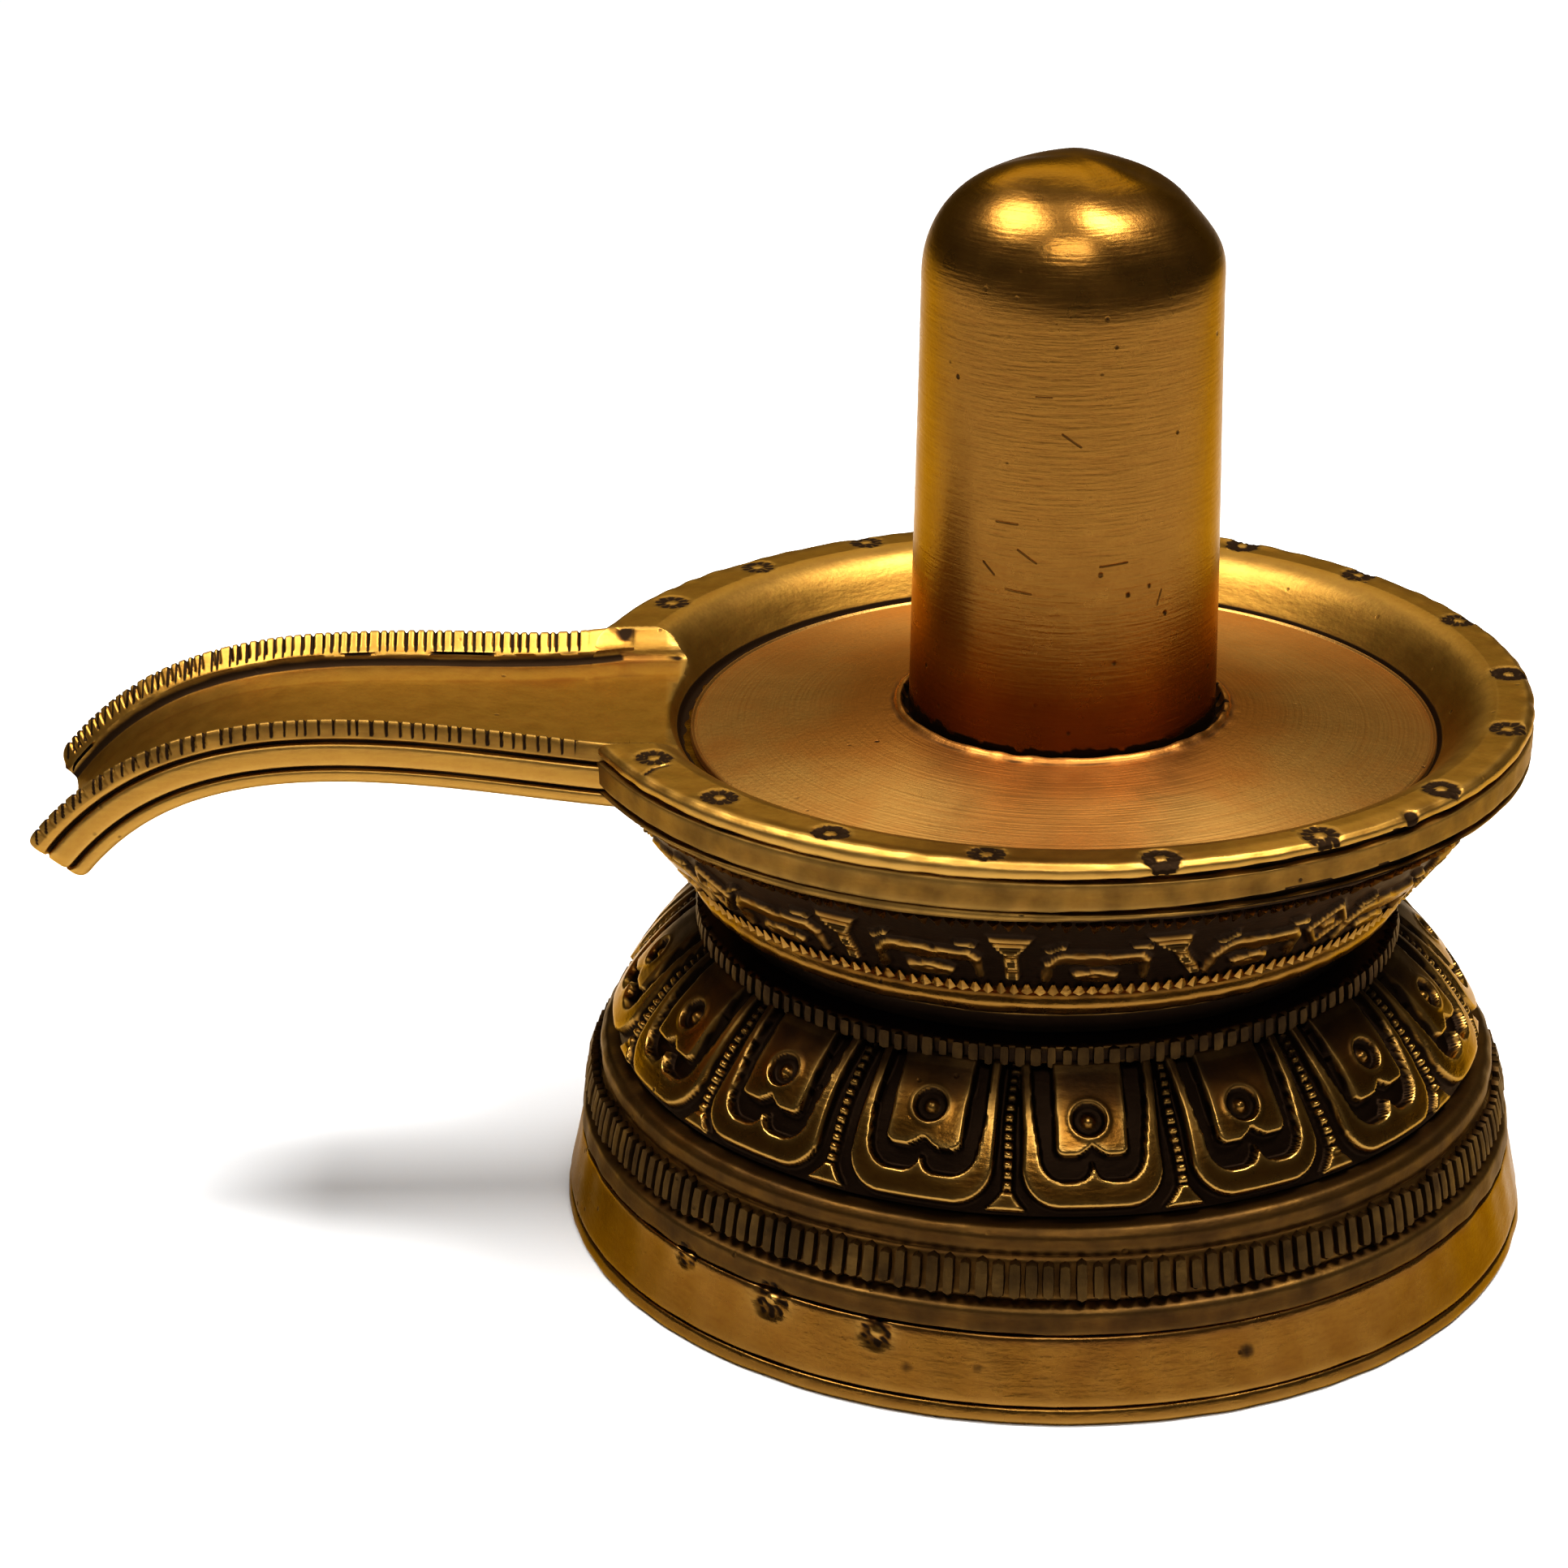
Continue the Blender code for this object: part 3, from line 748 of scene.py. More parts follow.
@dataclass(frozen=True)
class StudRing:
    """A ring of raised studs round the upright axis.

    Attributes:
        name: the piece's name.
        shape: the form of one stud.
        radius: how far the studs' middles stand from the axis, in metres.
        height: how high they stand.
        count: how many go round.
        depth: a stud's size away from the axis.
        width: its size round the axis.
        tall: its upright size.
        lean: how far it leans outwards from upright, in degrees.
        jitter: how uneven the studs are, as a share of their size.
        grime_and_shade: how dark all their faces are, 0 to 1: dirt, plus painted shade where the ring
            stands in shade.
    """

    name: str
    shape: StudShape
    radius: float
    height: float
    count: int
    depth: float
    width: float
    tall: float
    lean: float
    jitter: float
    grime_and_shade: float

    def stud(self, tree: bpy.types.NodeTree, sizes: bpy.types.NodeSocket) -> bpy.types.NodeSocket:
        """Adds the nodes for one stud whose front faces along X.

        Args:
            tree: the tree that they go in.
            sizes: the stud's depth, width and height.

        Returns:
            The stud's geometry.
        """
        nodes = tree.nodes
        if self.shape is StudShape.BAR:
            cube = nodes.new("GeometryNodeMeshCube")
            round_off = nodes.new("GeometryNodeSubdivisionSurface")
            round_off.inputs["Level"].default_value = 1
            round_off.inputs["Edge Crease"].default_value = 0.8
            tree.links.new(sizes, cube.inputs["Size"])
            tree.links.new(cube.outputs["Mesh"], round_off.inputs["Mesh"])
            return round_off.outputs["Mesh"]
        cone = nodes.new("GeometryNodeMeshCone")
        cone.inputs["Vertices"].default_value = 5
        cone.inputs["Radius Top"].default_value = 0.12
        cone.inputs["Radius Bottom"].default_value = 0.5
        cone.inputs["Depth"].default_value = 1.0
        turn = nodes.new("GeometryNodeTransform")
        flip = math.pi if self.shape is StudShape.TOOTH_DOWN else 0.0
        turn.inputs["Rotation"].default_value = (flip, 0.0, 0.0)
        stretch = nodes.new("GeometryNodeTransform")
        tree.links.new(cone.outputs["Mesh"], turn.inputs["Geometry"])
        tree.links.new(turn.outputs["Geometry"], stretch.inputs["Geometry"])
        tree.links.new(sizes, stretch.inputs["Scale"])
        return stretch.outputs["Geometry"]

    def tree(self, finish: bpy.types.Material) -> bpy.types.NodeTree:
        """Builds the geometry nodes.

        Args:
            finish: the studs' material.

        Returns:
            The tree, with its sizes as named inputs.
        """
        tree = bpy.data.node_groups.new(self.name, "GeometryNodeTree")
        sockets = tree.interface
        sockets.new_socket("Geometry", in_out="INPUT", socket_type="NodeSocketGeometry")
        sockets.new_socket("Geometry", in_out="OUTPUT", socket_type="NodeSocketGeometry")
        for name in ("Radius", "Height", "Lean", "Jitter"):
            sockets.new_socket(name, in_out="INPUT", socket_type="NodeSocketFloat")
        for name in ("Count", "Seed"):
            sockets.new_socket(name, in_out="INPUT", socket_type="NodeSocketInt")
        sockets.new_socket("Stud Size", in_out="INPUT", socket_type="NodeSocketVector")
        nodes = tree.nodes
        given = nodes.new("NodeGroupInput").outputs
        link = tree.links.new
        circle = nodes.new("GeometryNodeMeshCircle")
        link(given["Count"], circle.inputs["Vertices"])
        link(given["Radius"], circle.inputs["Radius"])
        raised = nodes.new("ShaderNodeCombineXYZ")
        link(given["Height"], raised.inputs["Z"])
        lift = nodes.new("GeometryNodeTransform")
        link(circle.outputs["Mesh"], lift.inputs["Geometry"])
        link(raised.outputs["Vector"], lift.inputs["Translation"])
        place = nodes.new("ShaderNodeSeparateXYZ")
        link(nodes.new("GeometryNodeInputPosition").outputs["Position"], place.inputs[0])
        turn = nodes.new("ShaderNodeMath")
        turn.operation = "ARCTAN2"
        link(place.outputs["Y"], turn.inputs[0])
        link(place.outputs["X"], turn.inputs[1])
        pose = nodes.new("ShaderNodeCombineXYZ")
        link(given["Lean"], pose.inputs["Y"])
        link(turn.outputs[0], pose.inputs["Z"])
        uneven = nodes.new("FunctionNodeRandomValue")
        uneven.data_type = "FLOAT_VECTOR"
        smallest = nodes.new("ShaderNodeMath")
        smallest.operation = "SUBTRACT"
        smallest.inputs[0].default_value = 1.0
        link(given["Jitter"], smallest.inputs[1])
        largest = nodes.new("ShaderNodeMath")
        largest.inputs[0].default_value = 1.0
        link(given["Jitter"], largest.inputs[1])
        link(smallest.outputs[0], uneven.inputs[0])
        link(largest.outputs[0], uneven.inputs[1])
        link(given["Seed"], uneven.inputs["Seed"])
        copies = nodes.new("GeometryNodeInstanceOnPoints")
        link(lift.outputs["Geometry"], copies.inputs["Points"])
        link(self.stud(tree, given["Stud Size"]), copies.inputs["Instance"])
        link(pose.outputs["Vector"], copies.inputs["Rotation"])
        link(uneven.outputs[0], copies.inputs["Scale"])
        real = nodes.new("GeometryNodeRealizeInstances")
        dress = nodes.new("GeometryNodeSetMaterial")
        dress.inputs["Material"].default_value = finish
        link(copies.outputs["Instances"], real.inputs["Geometry"])
        link(real.outputs["Geometry"], dress.inputs["Geometry"])
        link(dress.outputs["Geometry"], nodes.new("NodeGroupOutput").inputs["Geometry"])
        return tree

    def build(self, finish: bpy.types.Material) -> bpy.types.Object:
        """Builds the ring as a plain mesh.

        Args:
            finish: its material.

        Returns:
            The new object.
        """
        carrier = bpy.data.objects.new(self.name + "_carrier", bpy.data.meshes.new("carrier"))
        bpy.context.scene.collection.objects.link(carrier)
        ring = carrier.modifiers.new("ring", "NODES")
        ring.node_group = self.tree(finish)
        values = {
            "Radius": self.radius,
            "Height": self.height,
            "Lean": math.radians(self.lean),
            "Jitter": self.jitter,
            "Count": self.count,
            "Seed": SEED,
            "Stud Size": (self.depth, self.width, self.tall),
        }
        for socket in ring.node_group.interface.items_tree:
            if socket.in_out == "INPUT" and socket.name in values:
                ring[socket.identifier] = values[socket.name]
        mesh = evaluated_mesh(carrier)
        bpy.data.objects.remove(carrier)
        points = points_of(mesh)
        leaned = (points[:, 2] - self.height) * math.tan(math.radians(self.lean))
        out = np.hypot(points[:, 0], points[:, 1]) - self.radius - leaned
        # Every face is at least as dark as grime, which is dirt plus painted shade; the backs against the
        # wall go darker still.
        store(mesh, "recess_and_shade", np.maximum(self.grime_and_shade, 0.9 * eased(-out, self.depth * 0.4)))
        store(mesh, "edge", eased(out, self.depth * 0.5))
        return show(self.name, mesh, finish)


# The lotus base


@dataclass
class LotusBase:
    """The round base: a drum with a knurled band, a dome of lotus petals, a notched collar and a neck.

    Its sizes are in metres. They are taken from the upright axis and from the ground, and those of
    a petal's parts from the petal's own middle line and foot.

    Attributes:
        finish: its material.
        node: the node that its pieces stand for.
    """

    finish: bpy.types.Material
    node: str = "lotus_base"
    foot_radius: float = 0.0576
    band_radius: float = 0.0560
    fillet_radius: float = 0.0555
    knurl_radius: float = 0.0541
    knurl_spread: float = 0.0009
    knurl_count: int = 188
    ridge_radius: float = 0.0532
    line_low: float = 0.0018
    line_high: float = 0.0099
    fillet_top: float = 0.0129
    knurl_foot: float = 0.0141
    knurl_top: float = 0.0183
    ridge_foot: float = 0.0195
    ridge_top: float = 0.0216
    line_width: float = 0.0006
    line_depth: float = 0.0007
    line_flat: float = 0.4
    dome_foot_radius: float = 0.0514
    dome_foot: float = 0.0226
    dome_top_radius: float = 0.0409
    dome_top: float = 0.0354
    dome_bulge: float = 0.0010
    collar_radius: float = 0.0410
    collar_foot: float = 0.0356
    collar_top: float = 0.0380
    collar_tooth_count: int = 150
    neck_radius: float = 0.0380
    petal_count: int = 16
    petal_turn: float = math.radians(1.5)
    petal_rise: float = 0.0012
    petal_foot_gap: float = 0.0006
    petal_foot_half: float = 0.0083
    petal_top_half: float = 0.0071
    petal_corner: float = 0.0046
    border_width: float = 0.0023
    border_foot: float = 0.0030
    channel_corner: float = 0.0026
    cusp_height: float = 0.0021
    cusp_half: float = 0.0005
    tongue_half: float = 0.0042
    tongue_foot: float = 0.0058
    notch_height: float = 0.0011
    notch_half: float = 0.0017
    petal_length: float = 0.0163
    channel_depth: float = 0.0014
    eye_from_foot: float = 0.0102
    eye_radius: float = 0.0019
    boss_radius: float = 0.0009
    rib_pitch: float = 0.00106

    def pieces(self) -> list[bpy.types.Object]:
        """Builds every piece of the base.

        Returns:
            The new objects.
        """
        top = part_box(self.node)[1].z
        return [self.drum(), self.dome(), self.collar(top), self.knurls(), self.collar_teeth()]

    def drum(self) -> bpy.types.Object:
        """The drum, from under the dome down to the underside.

        Returns:
            The new object.
        """
        step = 0.00025
        wall = self.knurl_radius - 0.0007
        top = self.dome_foot + 0.0006
        cut = (self.line_width, self.line_depth, self.line_flat)
        line = Outline(0.0, top).to(0.046, top, 0.01)
        line.to(self.dome_foot_radius - 0.0006, self.ridge_top + 0.0002, step)
        line.to(self.ridge_radius - 0.0007, self.ridge_top, step)
        line.to(self.ridge_radius, self.ridge_foot + 0.0013, step)
        line.to(self.ridge_radius + 0.0001, self.ridge_foot, step)
        line.to(wall - 0.0005, self.knurl_top + 0.0003, step).to(wall, self.knurl_top, step)
        line.to(wall + self.knurl_spread, self.knurl_foot, step)
        line.to(wall + 0.0003, self.knurl_foot - 0.0005, step)
        line.to(self.fillet_radius - 0.0001, self.fillet_top, step)
        line.groove(self.fillet_radius + 0.0002, self.line_high, *cut)
        line.groove(self.foot_radius - 0.0003, self.line_low, *cut)
        line.to(self.foot_radius, 0.0006, step).to(self.foot_radius - 0.0006, 0.0, step)
        line.to(0.05, 0.0, 0.002).to(0.0, 0.0, 0.01)
        profile = line.softened(2)
        columns = 608
        turn = columns_round(columns)
        height = profile[:, 1:]
        slow = Wobble(3, 6, 5).at(turn, height) * 0.00012
        rough = Wobble(4, 14, 60).at(turn, height) * 0.00004
        lift = (slow + rough) * eased(profile[:, :1], 0.05)
        stamps = self.band_stamps(turn, height)
        skin = turned(profile, columns, lift - stamps * 0.0004)
        skin[:, :, 2] = np.maximum(skin[:, :, 2], 0.0)
        mesh = closed_mesh("drum", skin)
        mark_relief(mesh, 10, 0.00022)
        points = points_of(mesh)
        over_line = points[:, 2] - self.line_high
        dark = 0.62 * np.append(stamps.ravel(), [0.0, 0.0]) + self.band_spots(points)
        store_over(mesh, np.maximum(dark, 0.44 * eased(over_line, 0.0008)))
        store(mesh, "copper", 0.35 * np.exp(-((over_line / 0.0006) ** 2)))
        return show("base_drum", mesh, self.finish)

    def band_stamps(self, turn: np.ndarray, height: np.ndarray) -> np.ndarray:
        """The three small flower stamps on the plain band.

        Args:
            turn: the direction of each column.
            height: the height of each row.

        Returns:
            How deep they are, 0 to 1, as rows of columns.
        """
        stamps = ((-140.3, 0.0098, 0.0016), (-126.9, 0.0091, 0.0023), (-113.3, 0.0086, 0.0019))
        depth = 0.0
        for degrees, middle, size in stamps:
            across = (turn - math.radians(degrees) % FULL_TURN) * self.band_radius
            depth = depth + flower(across, height - middle, size, 9, 0.0, 0.3)
        return depth

    def band_spots(self, points: np.ndarray) -> np.ndarray:
        """The old dark spots on the plain band.

        Args:
            points: the drum's points.

        Returns:
            How dark each point is, 0 to 1.
        """
        spots = (
            (-120.2, 0.0057, 0.0007),
            (-109.5, 0.0053, 0.0011),
            (-101.5, 0.0062, 0.0009),
            (-71.0, 0.0066, 0.0012),
        )
        dark = np.zeros(len(points))
        for degrees, height, size in spots:
            turn = math.radians(degrees)
            middle = (self.band_radius * math.cos(turn), self.band_radius * math.sin(turn), height)
            dark += 0.55 * eased(size * 1.4 - np.linalg.norm(points - middle, axis=1), size)
        return dark

    def dome(self) -> bpy.types.Object:
        """The dome, its petals and the beaded ribs between them.

        Returns:
            The new object.
        """
        step = 0.00024
        spread = self.dome_foot_radius - self.dome_top_radius
        tall = self.dome_top - self.dome_foot
        rows = int(np.hypot(spread, tall) / step)
        share = np.linspace(0.0, 1.0, rows)
        bow = self.dome_bulge * 4 * share * (1 - share)
        radius = self.dome_top_radius + spread * share + bow * 0.75
        height = self.dome_top - tall * share + bow * 0.65
        slope = np.stack([radius, height], axis=1)
        ground = 0.0005
        columns = 1280
        lift = self.petal_relief(slope, columns) - ground
        skin = turned(slope, columns, lift)
        seat = self.dome_foot - 0.001
        under = np.array([(self.dome_foot_radius - 0.004, seat), (0.04, seat)])
        mesh = closed_mesh("dome", np.concatenate([skin, turned(under, columns)]))
        mark_relief(mesh, 14, 0.00030)
        points = points_of(mesh)
        # Darker and redder towards the dome's top, under the collar and the dish: patina plus painted
        # shade.
        top_patina_and_shade = 0.80 * eased(points[:, 2] - self.dome_top + 0.0070, 0.0075)
        sunk = np.zeros(len(points))
        sunk[: rows * columns] = eased(0.0004 - lift, 0.0006).ravel()
        dark = np.maximum(stored(mesh, "recess_and_shade"), sunk) + top_patina_and_shade * 0.65
        store(mesh, "recess_and_shade", np.clip(dark, 0.0, 1.0))
        store(mesh, "copper", top_patina_and_shade * 0.15)
        return show("base_lotus_dome", mesh, self.finish, 80.0)

    def petal_relief(self, slope: np.ndarray, columns: int) -> np.ndarray:
        """How far the carving stands out of the dome.

        Args:
            slope: radius and height of each row, from the top down.
            columns: how many columns go round.

        Returns:
            Heights, as rows of columns.
        """
        run = length_along(slope)
        up = (run[-1] - run)[:, None] - self.petal_foot_gap
        turn = columns_round(columns)
        cell = FULL_TURN / self.petal_count
        draw = np.random.default_rng(SEED)
        relief = np.zeros((len(slope), columns))
        for index in range(self.petal_count):
            middle = index * cell + self.petal_turn + draw.normal(0.0, 0.006)
            off = apart(turn, middle)
            near = np.abs(off[0]) < cell
            across = off[:, near] * slope[:, :1]
            petal = self.petal(across, up + draw.normal(0.0, 0.0001), draw)
            rib_off = apart(turn, middle + cell / 2)
            beside = np.abs(rib_off[0]) < cell / 2
            rib = self.rib(rib_off[:, beside] * slope[:, :1], up, draw)
            relief[:, near] = np.maximum(relief[:, near], petal)
            relief[:, beside] = np.maximum(relief[:, beside], rib)
        rough = Wobble(8, 14, 70).at(turn, slope[:, 1:]) * 0.00003
        return relief + rough

    def petal(self, across: np.ndarray, up: np.ndarray, draw: np.random.Generator) -> np.ndarray:
        """One petal: a border, a sunk channel with a cusp, a tongue and an eye.

        Args:
            across: distance from the petal's middle line.
            up: distance from its foot.
            draw: where its small differences come from.

        Returns:
            Heights over the dome.
        """
        share = np.clip(up / self.petal_length, 0.0, 1.0)
        side = np.abs(across)
        half = self.petal_foot_half + (self.petal_top_half - self.petal_foot_half) * share
        half = half * draw.uniform(0.97, 1.03) + 0.0002 * np.sin(share * 5.0 + draw.uniform(0, 6))
        inside = rounded_inside(half - side, up, self.petal_corner * draw.uniform(0.8, 1.1))
        body = self.petal_rise * eased(inside + 0.0001, 0.0005)
        crown = 0.00025 * np.cos(np.clip(across / half, -1, 1) * 1.4)
        cusp = self.cusp_height * np.exp(-side / self.cusp_half)
        edge = half - self.border_width + 0.0009 * eased(share - 0.2, 0.5)
        foot = self.border_foot + draw.normal(0.0, 0.0001)
        outer = rounded_inside(edge - side, up - foot - cusp, self.channel_corner)
        notch = self.notch_height * np.clip(1 - side / self.notch_half, 0, 1) ** 1.3
        half_tongue = self.tongue_half * draw.uniform(0.96, 1.04) - 0.0003 * share
        tongue = rounded_inside(half_tongue - side, up - self.tongue_foot - notch, 0.0009)
        channel = eased(outer + 0.00012, 0.0003) * (1 - eased(tongue + 0.0002, 0.0003))
        eye = np.hypot(across - draw.normal(0, 0.0002), up - self.eye_from_foot - draw.normal(0, 0.0003))
        ring = 0.0008 * eased(self.eye_radius - eye, 0.0003)
        boss = 0.0005 * eased(self.boss_radius - eye, 0.0006)
        lip = 0.00012 * np.exp(-(((eye - self.eye_radius - 0.0002) / 0.0003) ** 2))
        carved = body + crown * eased(inside, 0.0005) - ring + boss + lip
        return carved * (1 - channel) + channel * (self.petal_rise - self.channel_depth)

    def rib(self, across: np.ndarray, up: np.ndarray, draw: np.random.Generator) -> np.ndarray:
        """One beaded rib between two petals, with its flared foot.

        Args:
            across: distance from the rib's middle line.
            up: distance from its foot.
            draw: where its small differences come from.

        Returns:
            Heights over the dome.
        """
        foot = np.clip(1 - up / 0.0024, 0.0, 1.0) ** 1.5
        half = 0.00072 + 0.0017 * foot
        phase = up / self.rib_pitch + draw.uniform(0, 1)
        beads = 0.5 + 0.5 * np.cos(FULL_TURN * phase + 0.5 * np.sin(up * 900))
        beads = np.maximum(eased(beads, 0.40), foot * 3).clip(0.0, 1.0)
        wall = eased(half - np.abs(across - 0.00012 * np.sin(up * 500)), 0.0004)
        return wall * (0.00045 + 0.00065 * beads) * eased(up + 0.0003, 0.0003)

    def collar(self, top: float) -> bpy.types.Object:
        """The collar disc and the neck.

        Args:
            top: the height of the neck's top.

        Returns:
            The new object.
        """
        step = 0.0003
        line = Outline(0.0, top).to(self.neck_radius, top, 0.01)
        line.to(self.neck_radius - 0.0002, self.collar_top + 0.0002, step)
        line.to(self.collar_radius - 0.0003, self.collar_top, step)
        line.to(self.collar_radius, self.collar_top - 0.0003, step)
        line.to(self.collar_radius, self.collar_foot + 0.0002, step)
        line.to(self.collar_radius - 0.0008, self.collar_foot, step)
        line.to(self.neck_radius, self.dome_top - 0.0003, step).to(0.03, self.dome_top - 0.0006, 0.002)
        line.to(0.0, self.dome_top - 0.0006, 0.01)
        profile = line.softened(1)
        columns = 384
        uneven = Wobble(5, 8, 8).at(columns_round(columns), profile[:, 1:]) * 0.00008
        mesh = closed_mesh("collar", turned(profile, columns, uneven * eased(profile[:, :1], 0.03)))
        mark_relief(mesh, 8, 0.0002)
        # The collar and neck are darkened all over, less on their proud edges: patina plus painted shade
        # under the bowl.
        store(mesh, "recess_and_shade", np.clip(0.75 - 0.6 * stored(mesh, "edge"), 0, 1))
        store(mesh, "copper", np.full(len(mesh.vertices), 0.2))
        return show("base_collar", mesh, self.finish)

    def knurls(self) -> bpy.types.Object:
        """The band of upright bars round the drum.

        Returns:
            The new object.
        """
        tall = self.knurl_top - self.knurl_foot
        ring = StudRing(
            name="base_knurls",
            shape=StudShape.BAR,
            radius=self.knurl_radius - 0.0001,
            height=(self.knurl_foot + self.knurl_top) / 2,
            count=self.knurl_count,
            depth=0.0019,
            width=0.0014,
            tall=tall + 0.0004,
            lean=math.degrees(math.atan(-self.knurl_spread / tall)),
            jitter=0.14,
            grime_and_shade=0.50,
        )
        return ring.build(self.finish)

    def collar_teeth(self) -> bpy.types.Object:
        """The rounded teeth round the collar's edge.

        Returns:
            The new object.
        """
        ring = StudRing(
            name="base_collar_teeth",
            shape=StudShape.BAR,
            radius=self.collar_radius - 0.0002,
            height=(self.collar_foot + self.collar_top) / 2,
            count=self.collar_tooth_count,
            depth=0.0015,
            width=0.00128,
            tall=self.collar_top - self.collar_foot + 0.0002,
            lean=-4.0,
            jitter=0.2,
            # Dark all over: dirt plus painted shade under the bowl.
            grime_and_shade=0.54,
        )
        return ring.build(self.finish)


# The dish with its spout


@dataclass
class SpoutedDish:
    """The dish: its carved bowl, its grooved rim, the turned floor and the channel spout.

    Its sizes are in metres, taken from the upright axis and from the ground.

    Attributes:
        finish: the material of its rim and its spout.
        carved: the bowl's material.
        turned_metal: the floor's material.
        node: the node that its pieces stand for.
        rim_oval: the rim's length along the spout, as a factor of its width.
        stamps: directions of the flowers punched in the rim, in degrees.
    """

    finish: bpy.types.Material
    carved: bpy.types.Material
    turned_metal: bpy.types.Material
    node: str = "yoni_dish"
    rim_radius: float = 0.0545
    rim_oval: float = 1.018
    rim_top: float = 0.0655
    rim_bottom: float = 0.0591
    lip_height: float = 0.0014
    band_height: float = 0.0028
    line_width: float = 0.0008
    line_depth: float = 0.0009
    line_flat: float = 0.2
    rim_inner_radius: float = 0.0508
    hollow_centre: float = 0.0010
    floor_radius: float = 0.0440
    floor_edge: float = 0.0601
    floor_at_ring: float = 0.0625
    floor_centre: float = 0.0015
    ring_outer: float = 0.0197
    ring_rise: float = 0.0006
    pillar_radius: float = 0.0179
    bowl_bottom: float = 0.0415
    moulding_radius: float = 0.0422
    wall_foot_radius: float = 0.0424
    wall_foot: float = 0.0445
    wall_top_radius: float = 0.0526
    spout_reach: float = 0.1178
    spout_root: float = 0.0496
    spout_start: float = 0.0485
    channel_start: float = 0.0305
    crest_rise: float = 0.0001
    crest_lift: float = 0.0087
    tip_drop: float = 0.0133
    root_half: float = 0.0192
    tip_half: float = 0.0140
    flare_power: float = 4.0
    crest_width: float = 0.0029
    tip_rounding: float = 0.0018
    near_pitch: float = 0.00145
    near_seed: int = 32
    far_pitch: float = 0.00112
    far_seed: int = 31
    frieze_cells: int = 16
    frieze_turn: float = -math.radians(99.8)
    frieze_foot: float = 0.0484
    frieze_ground: tuple[float, float] = (0.0460, 0.0590)
    stamp_circle: float = 0.0522
    stamp_radius: float = 0.0023
    stamp_depth: float = 0.00034
    stamps: tuple[float, ...] = (
        -103, -83, -63, -42, -20, -1, 19, 40, 59, 77, 95, 113, 131, 149, -122, -139, -154,
    )

    def pieces(self) -> list[bpy.types.Object]:
        """Builds every piece of the dish.

        Returns:
            The new objects.
        """
        return [
            self.rim_piece(),
            self.spout_piece(),
            self.floor(),
            self.bowl(),
            self.teeth_row(True),
            self.teeth_row(False),
        ]

    def rim(self) -> bpy.types.Mesh:
        """The rim as a solid disc, before it is hollowed.

        Returns:
            A closed mesh.
        """
        first = self.rim_top - self.lip_height - self.line_width
        second = first - self.band_height - self.line_width
        under = self.rim_bottom - 0.0005
        cut = (self.line_width, self.line_depth, self.line_flat)
        line = Outline(0.0, self.rim_top).to(0.0475, self.rim_top, 0.012)
        line.to(self.rim_radius - 0.0007, self.rim_top, 0.0003)
        line.to(self.rim_radius, self.rim_top - 0.0006, 0.0002)
        line.groove(self.rim_radius, first, *cut).groove(self.rim_radius, second, *cut)
        line.to(self.rim_radius - 0.0004, self.rim_bottom, 0.0003)
        line.to(0.047, under, 0.002).to(0.0, under, 0.012)
        profile = line.softened(1)
        columns = 960
        turn = columns_round(columns)
        radius, height = profile[:, :1], profile[:, 1:]
        slow = Wobble(21, 7, 6).at(turn, height) * 0.00016
        lip = eased(height - self.rim_top + 0.0018, 0.0006) * eased(radius - 0.0525, 0.001)
        rough = Wobble(22, 18, 90).at(turn, height) * (0.00003 + 0.00003 * lip)
        on_side = (height < self.rim_top - 0.0008) * (height > self.rim_bottom)
        in_line = eased(self.rim_radius - 0.0002 - radius, 0.0003) * on_side
        ragged = Wobble(23, 18, 60).at(turn, 0.0 * height) * 0.00010 * in_line
        lift = (slow + rough + ragged) * eased(radius - 0.052, 0.002)
        skin = turned(profile, columns, lift)
        skin[:, :, 0] *= self.rim_oval
        return closed_mesh("rim", skin)

    def hollow(self) -> bpy.types.Mesh:
        """The space inside the rim, down to the seat of the floor.

        Returns:
            A closed mesh.
        """
        mm = 0.001
        over = self.rim_top + 0.002
        seat = self.floor_edge - 0.0011
        line = Outline(0.0, over).to(self.rim_inner_radius + 0.0015, over, 0.02)
        line.to(self.rim_inner_radius, self.rim_top + 0.00002, 0.0006)
        rounded = (
            (0.7, 0.06), (1.5, 0.26), (2.4, 0.68), (3.2, 1.28), (4.2, 2.30),
            (5.1, 3.40), (5.8, 4.35), (6.4, 5.10), (6.8, 5.50),
        )
        for inward, drop in rounded:
            line.to(self.rim_inner_radius - inward * mm, self.rim_top - drop * mm, 0.0006)
        line.to(self.floor_radius - 0.0001, seat, 0.0003).to(0.0, seat, 0.02)
        return closed_mesh("hollow", turned(line.softened(3), 480, 0.0, self.hollow_centre))

    def crest(self, count: int, start: float) -> np.ndarray:
        """Points along the top of the spout, from inside the dish out to the tip.

        Args:
            count: how many points lie on the free part.
            start: how far from the axis the first point lies.

        Returns:
            Distance from the axis and height of each point.
        """
        root = np.array((self.spout_root, self.rim_top + self.crest_rise))
        tip = np.array((self.spout_reach, self.rim_top - self.tip_drop))
        run = tip[0] - root[0]
        first = root + np.array((run / 3, -self.crest_rise))
        second = np.array((tip[0] - run / 4, self.rim_top + self.crest_lift))
        t = np.linspace(0.0, 1.0, count)[:, None]
        near = root * (1 - t) ** 3 + first * 3 * t * (1 - t) ** 2
        free = near + second * 3 * t * t * (1 - t) + tip * t ** 3
        inside = np.linspace((start, root[1]), root, 12, endpoint=False)
        return np.concatenate([inside, free])

    def half_width(self, out: np.ndarray) -> np.ndarray:
        """Half the spout's width at a distance from the axis."""
        share = np.clip((out - self.spout_root) / (self.spout_reach - self.spout_root), 0.0, 1.0)
        return self.tip_half + (self.root_half - self.tip_half) * (1 - share) ** self.flare_power

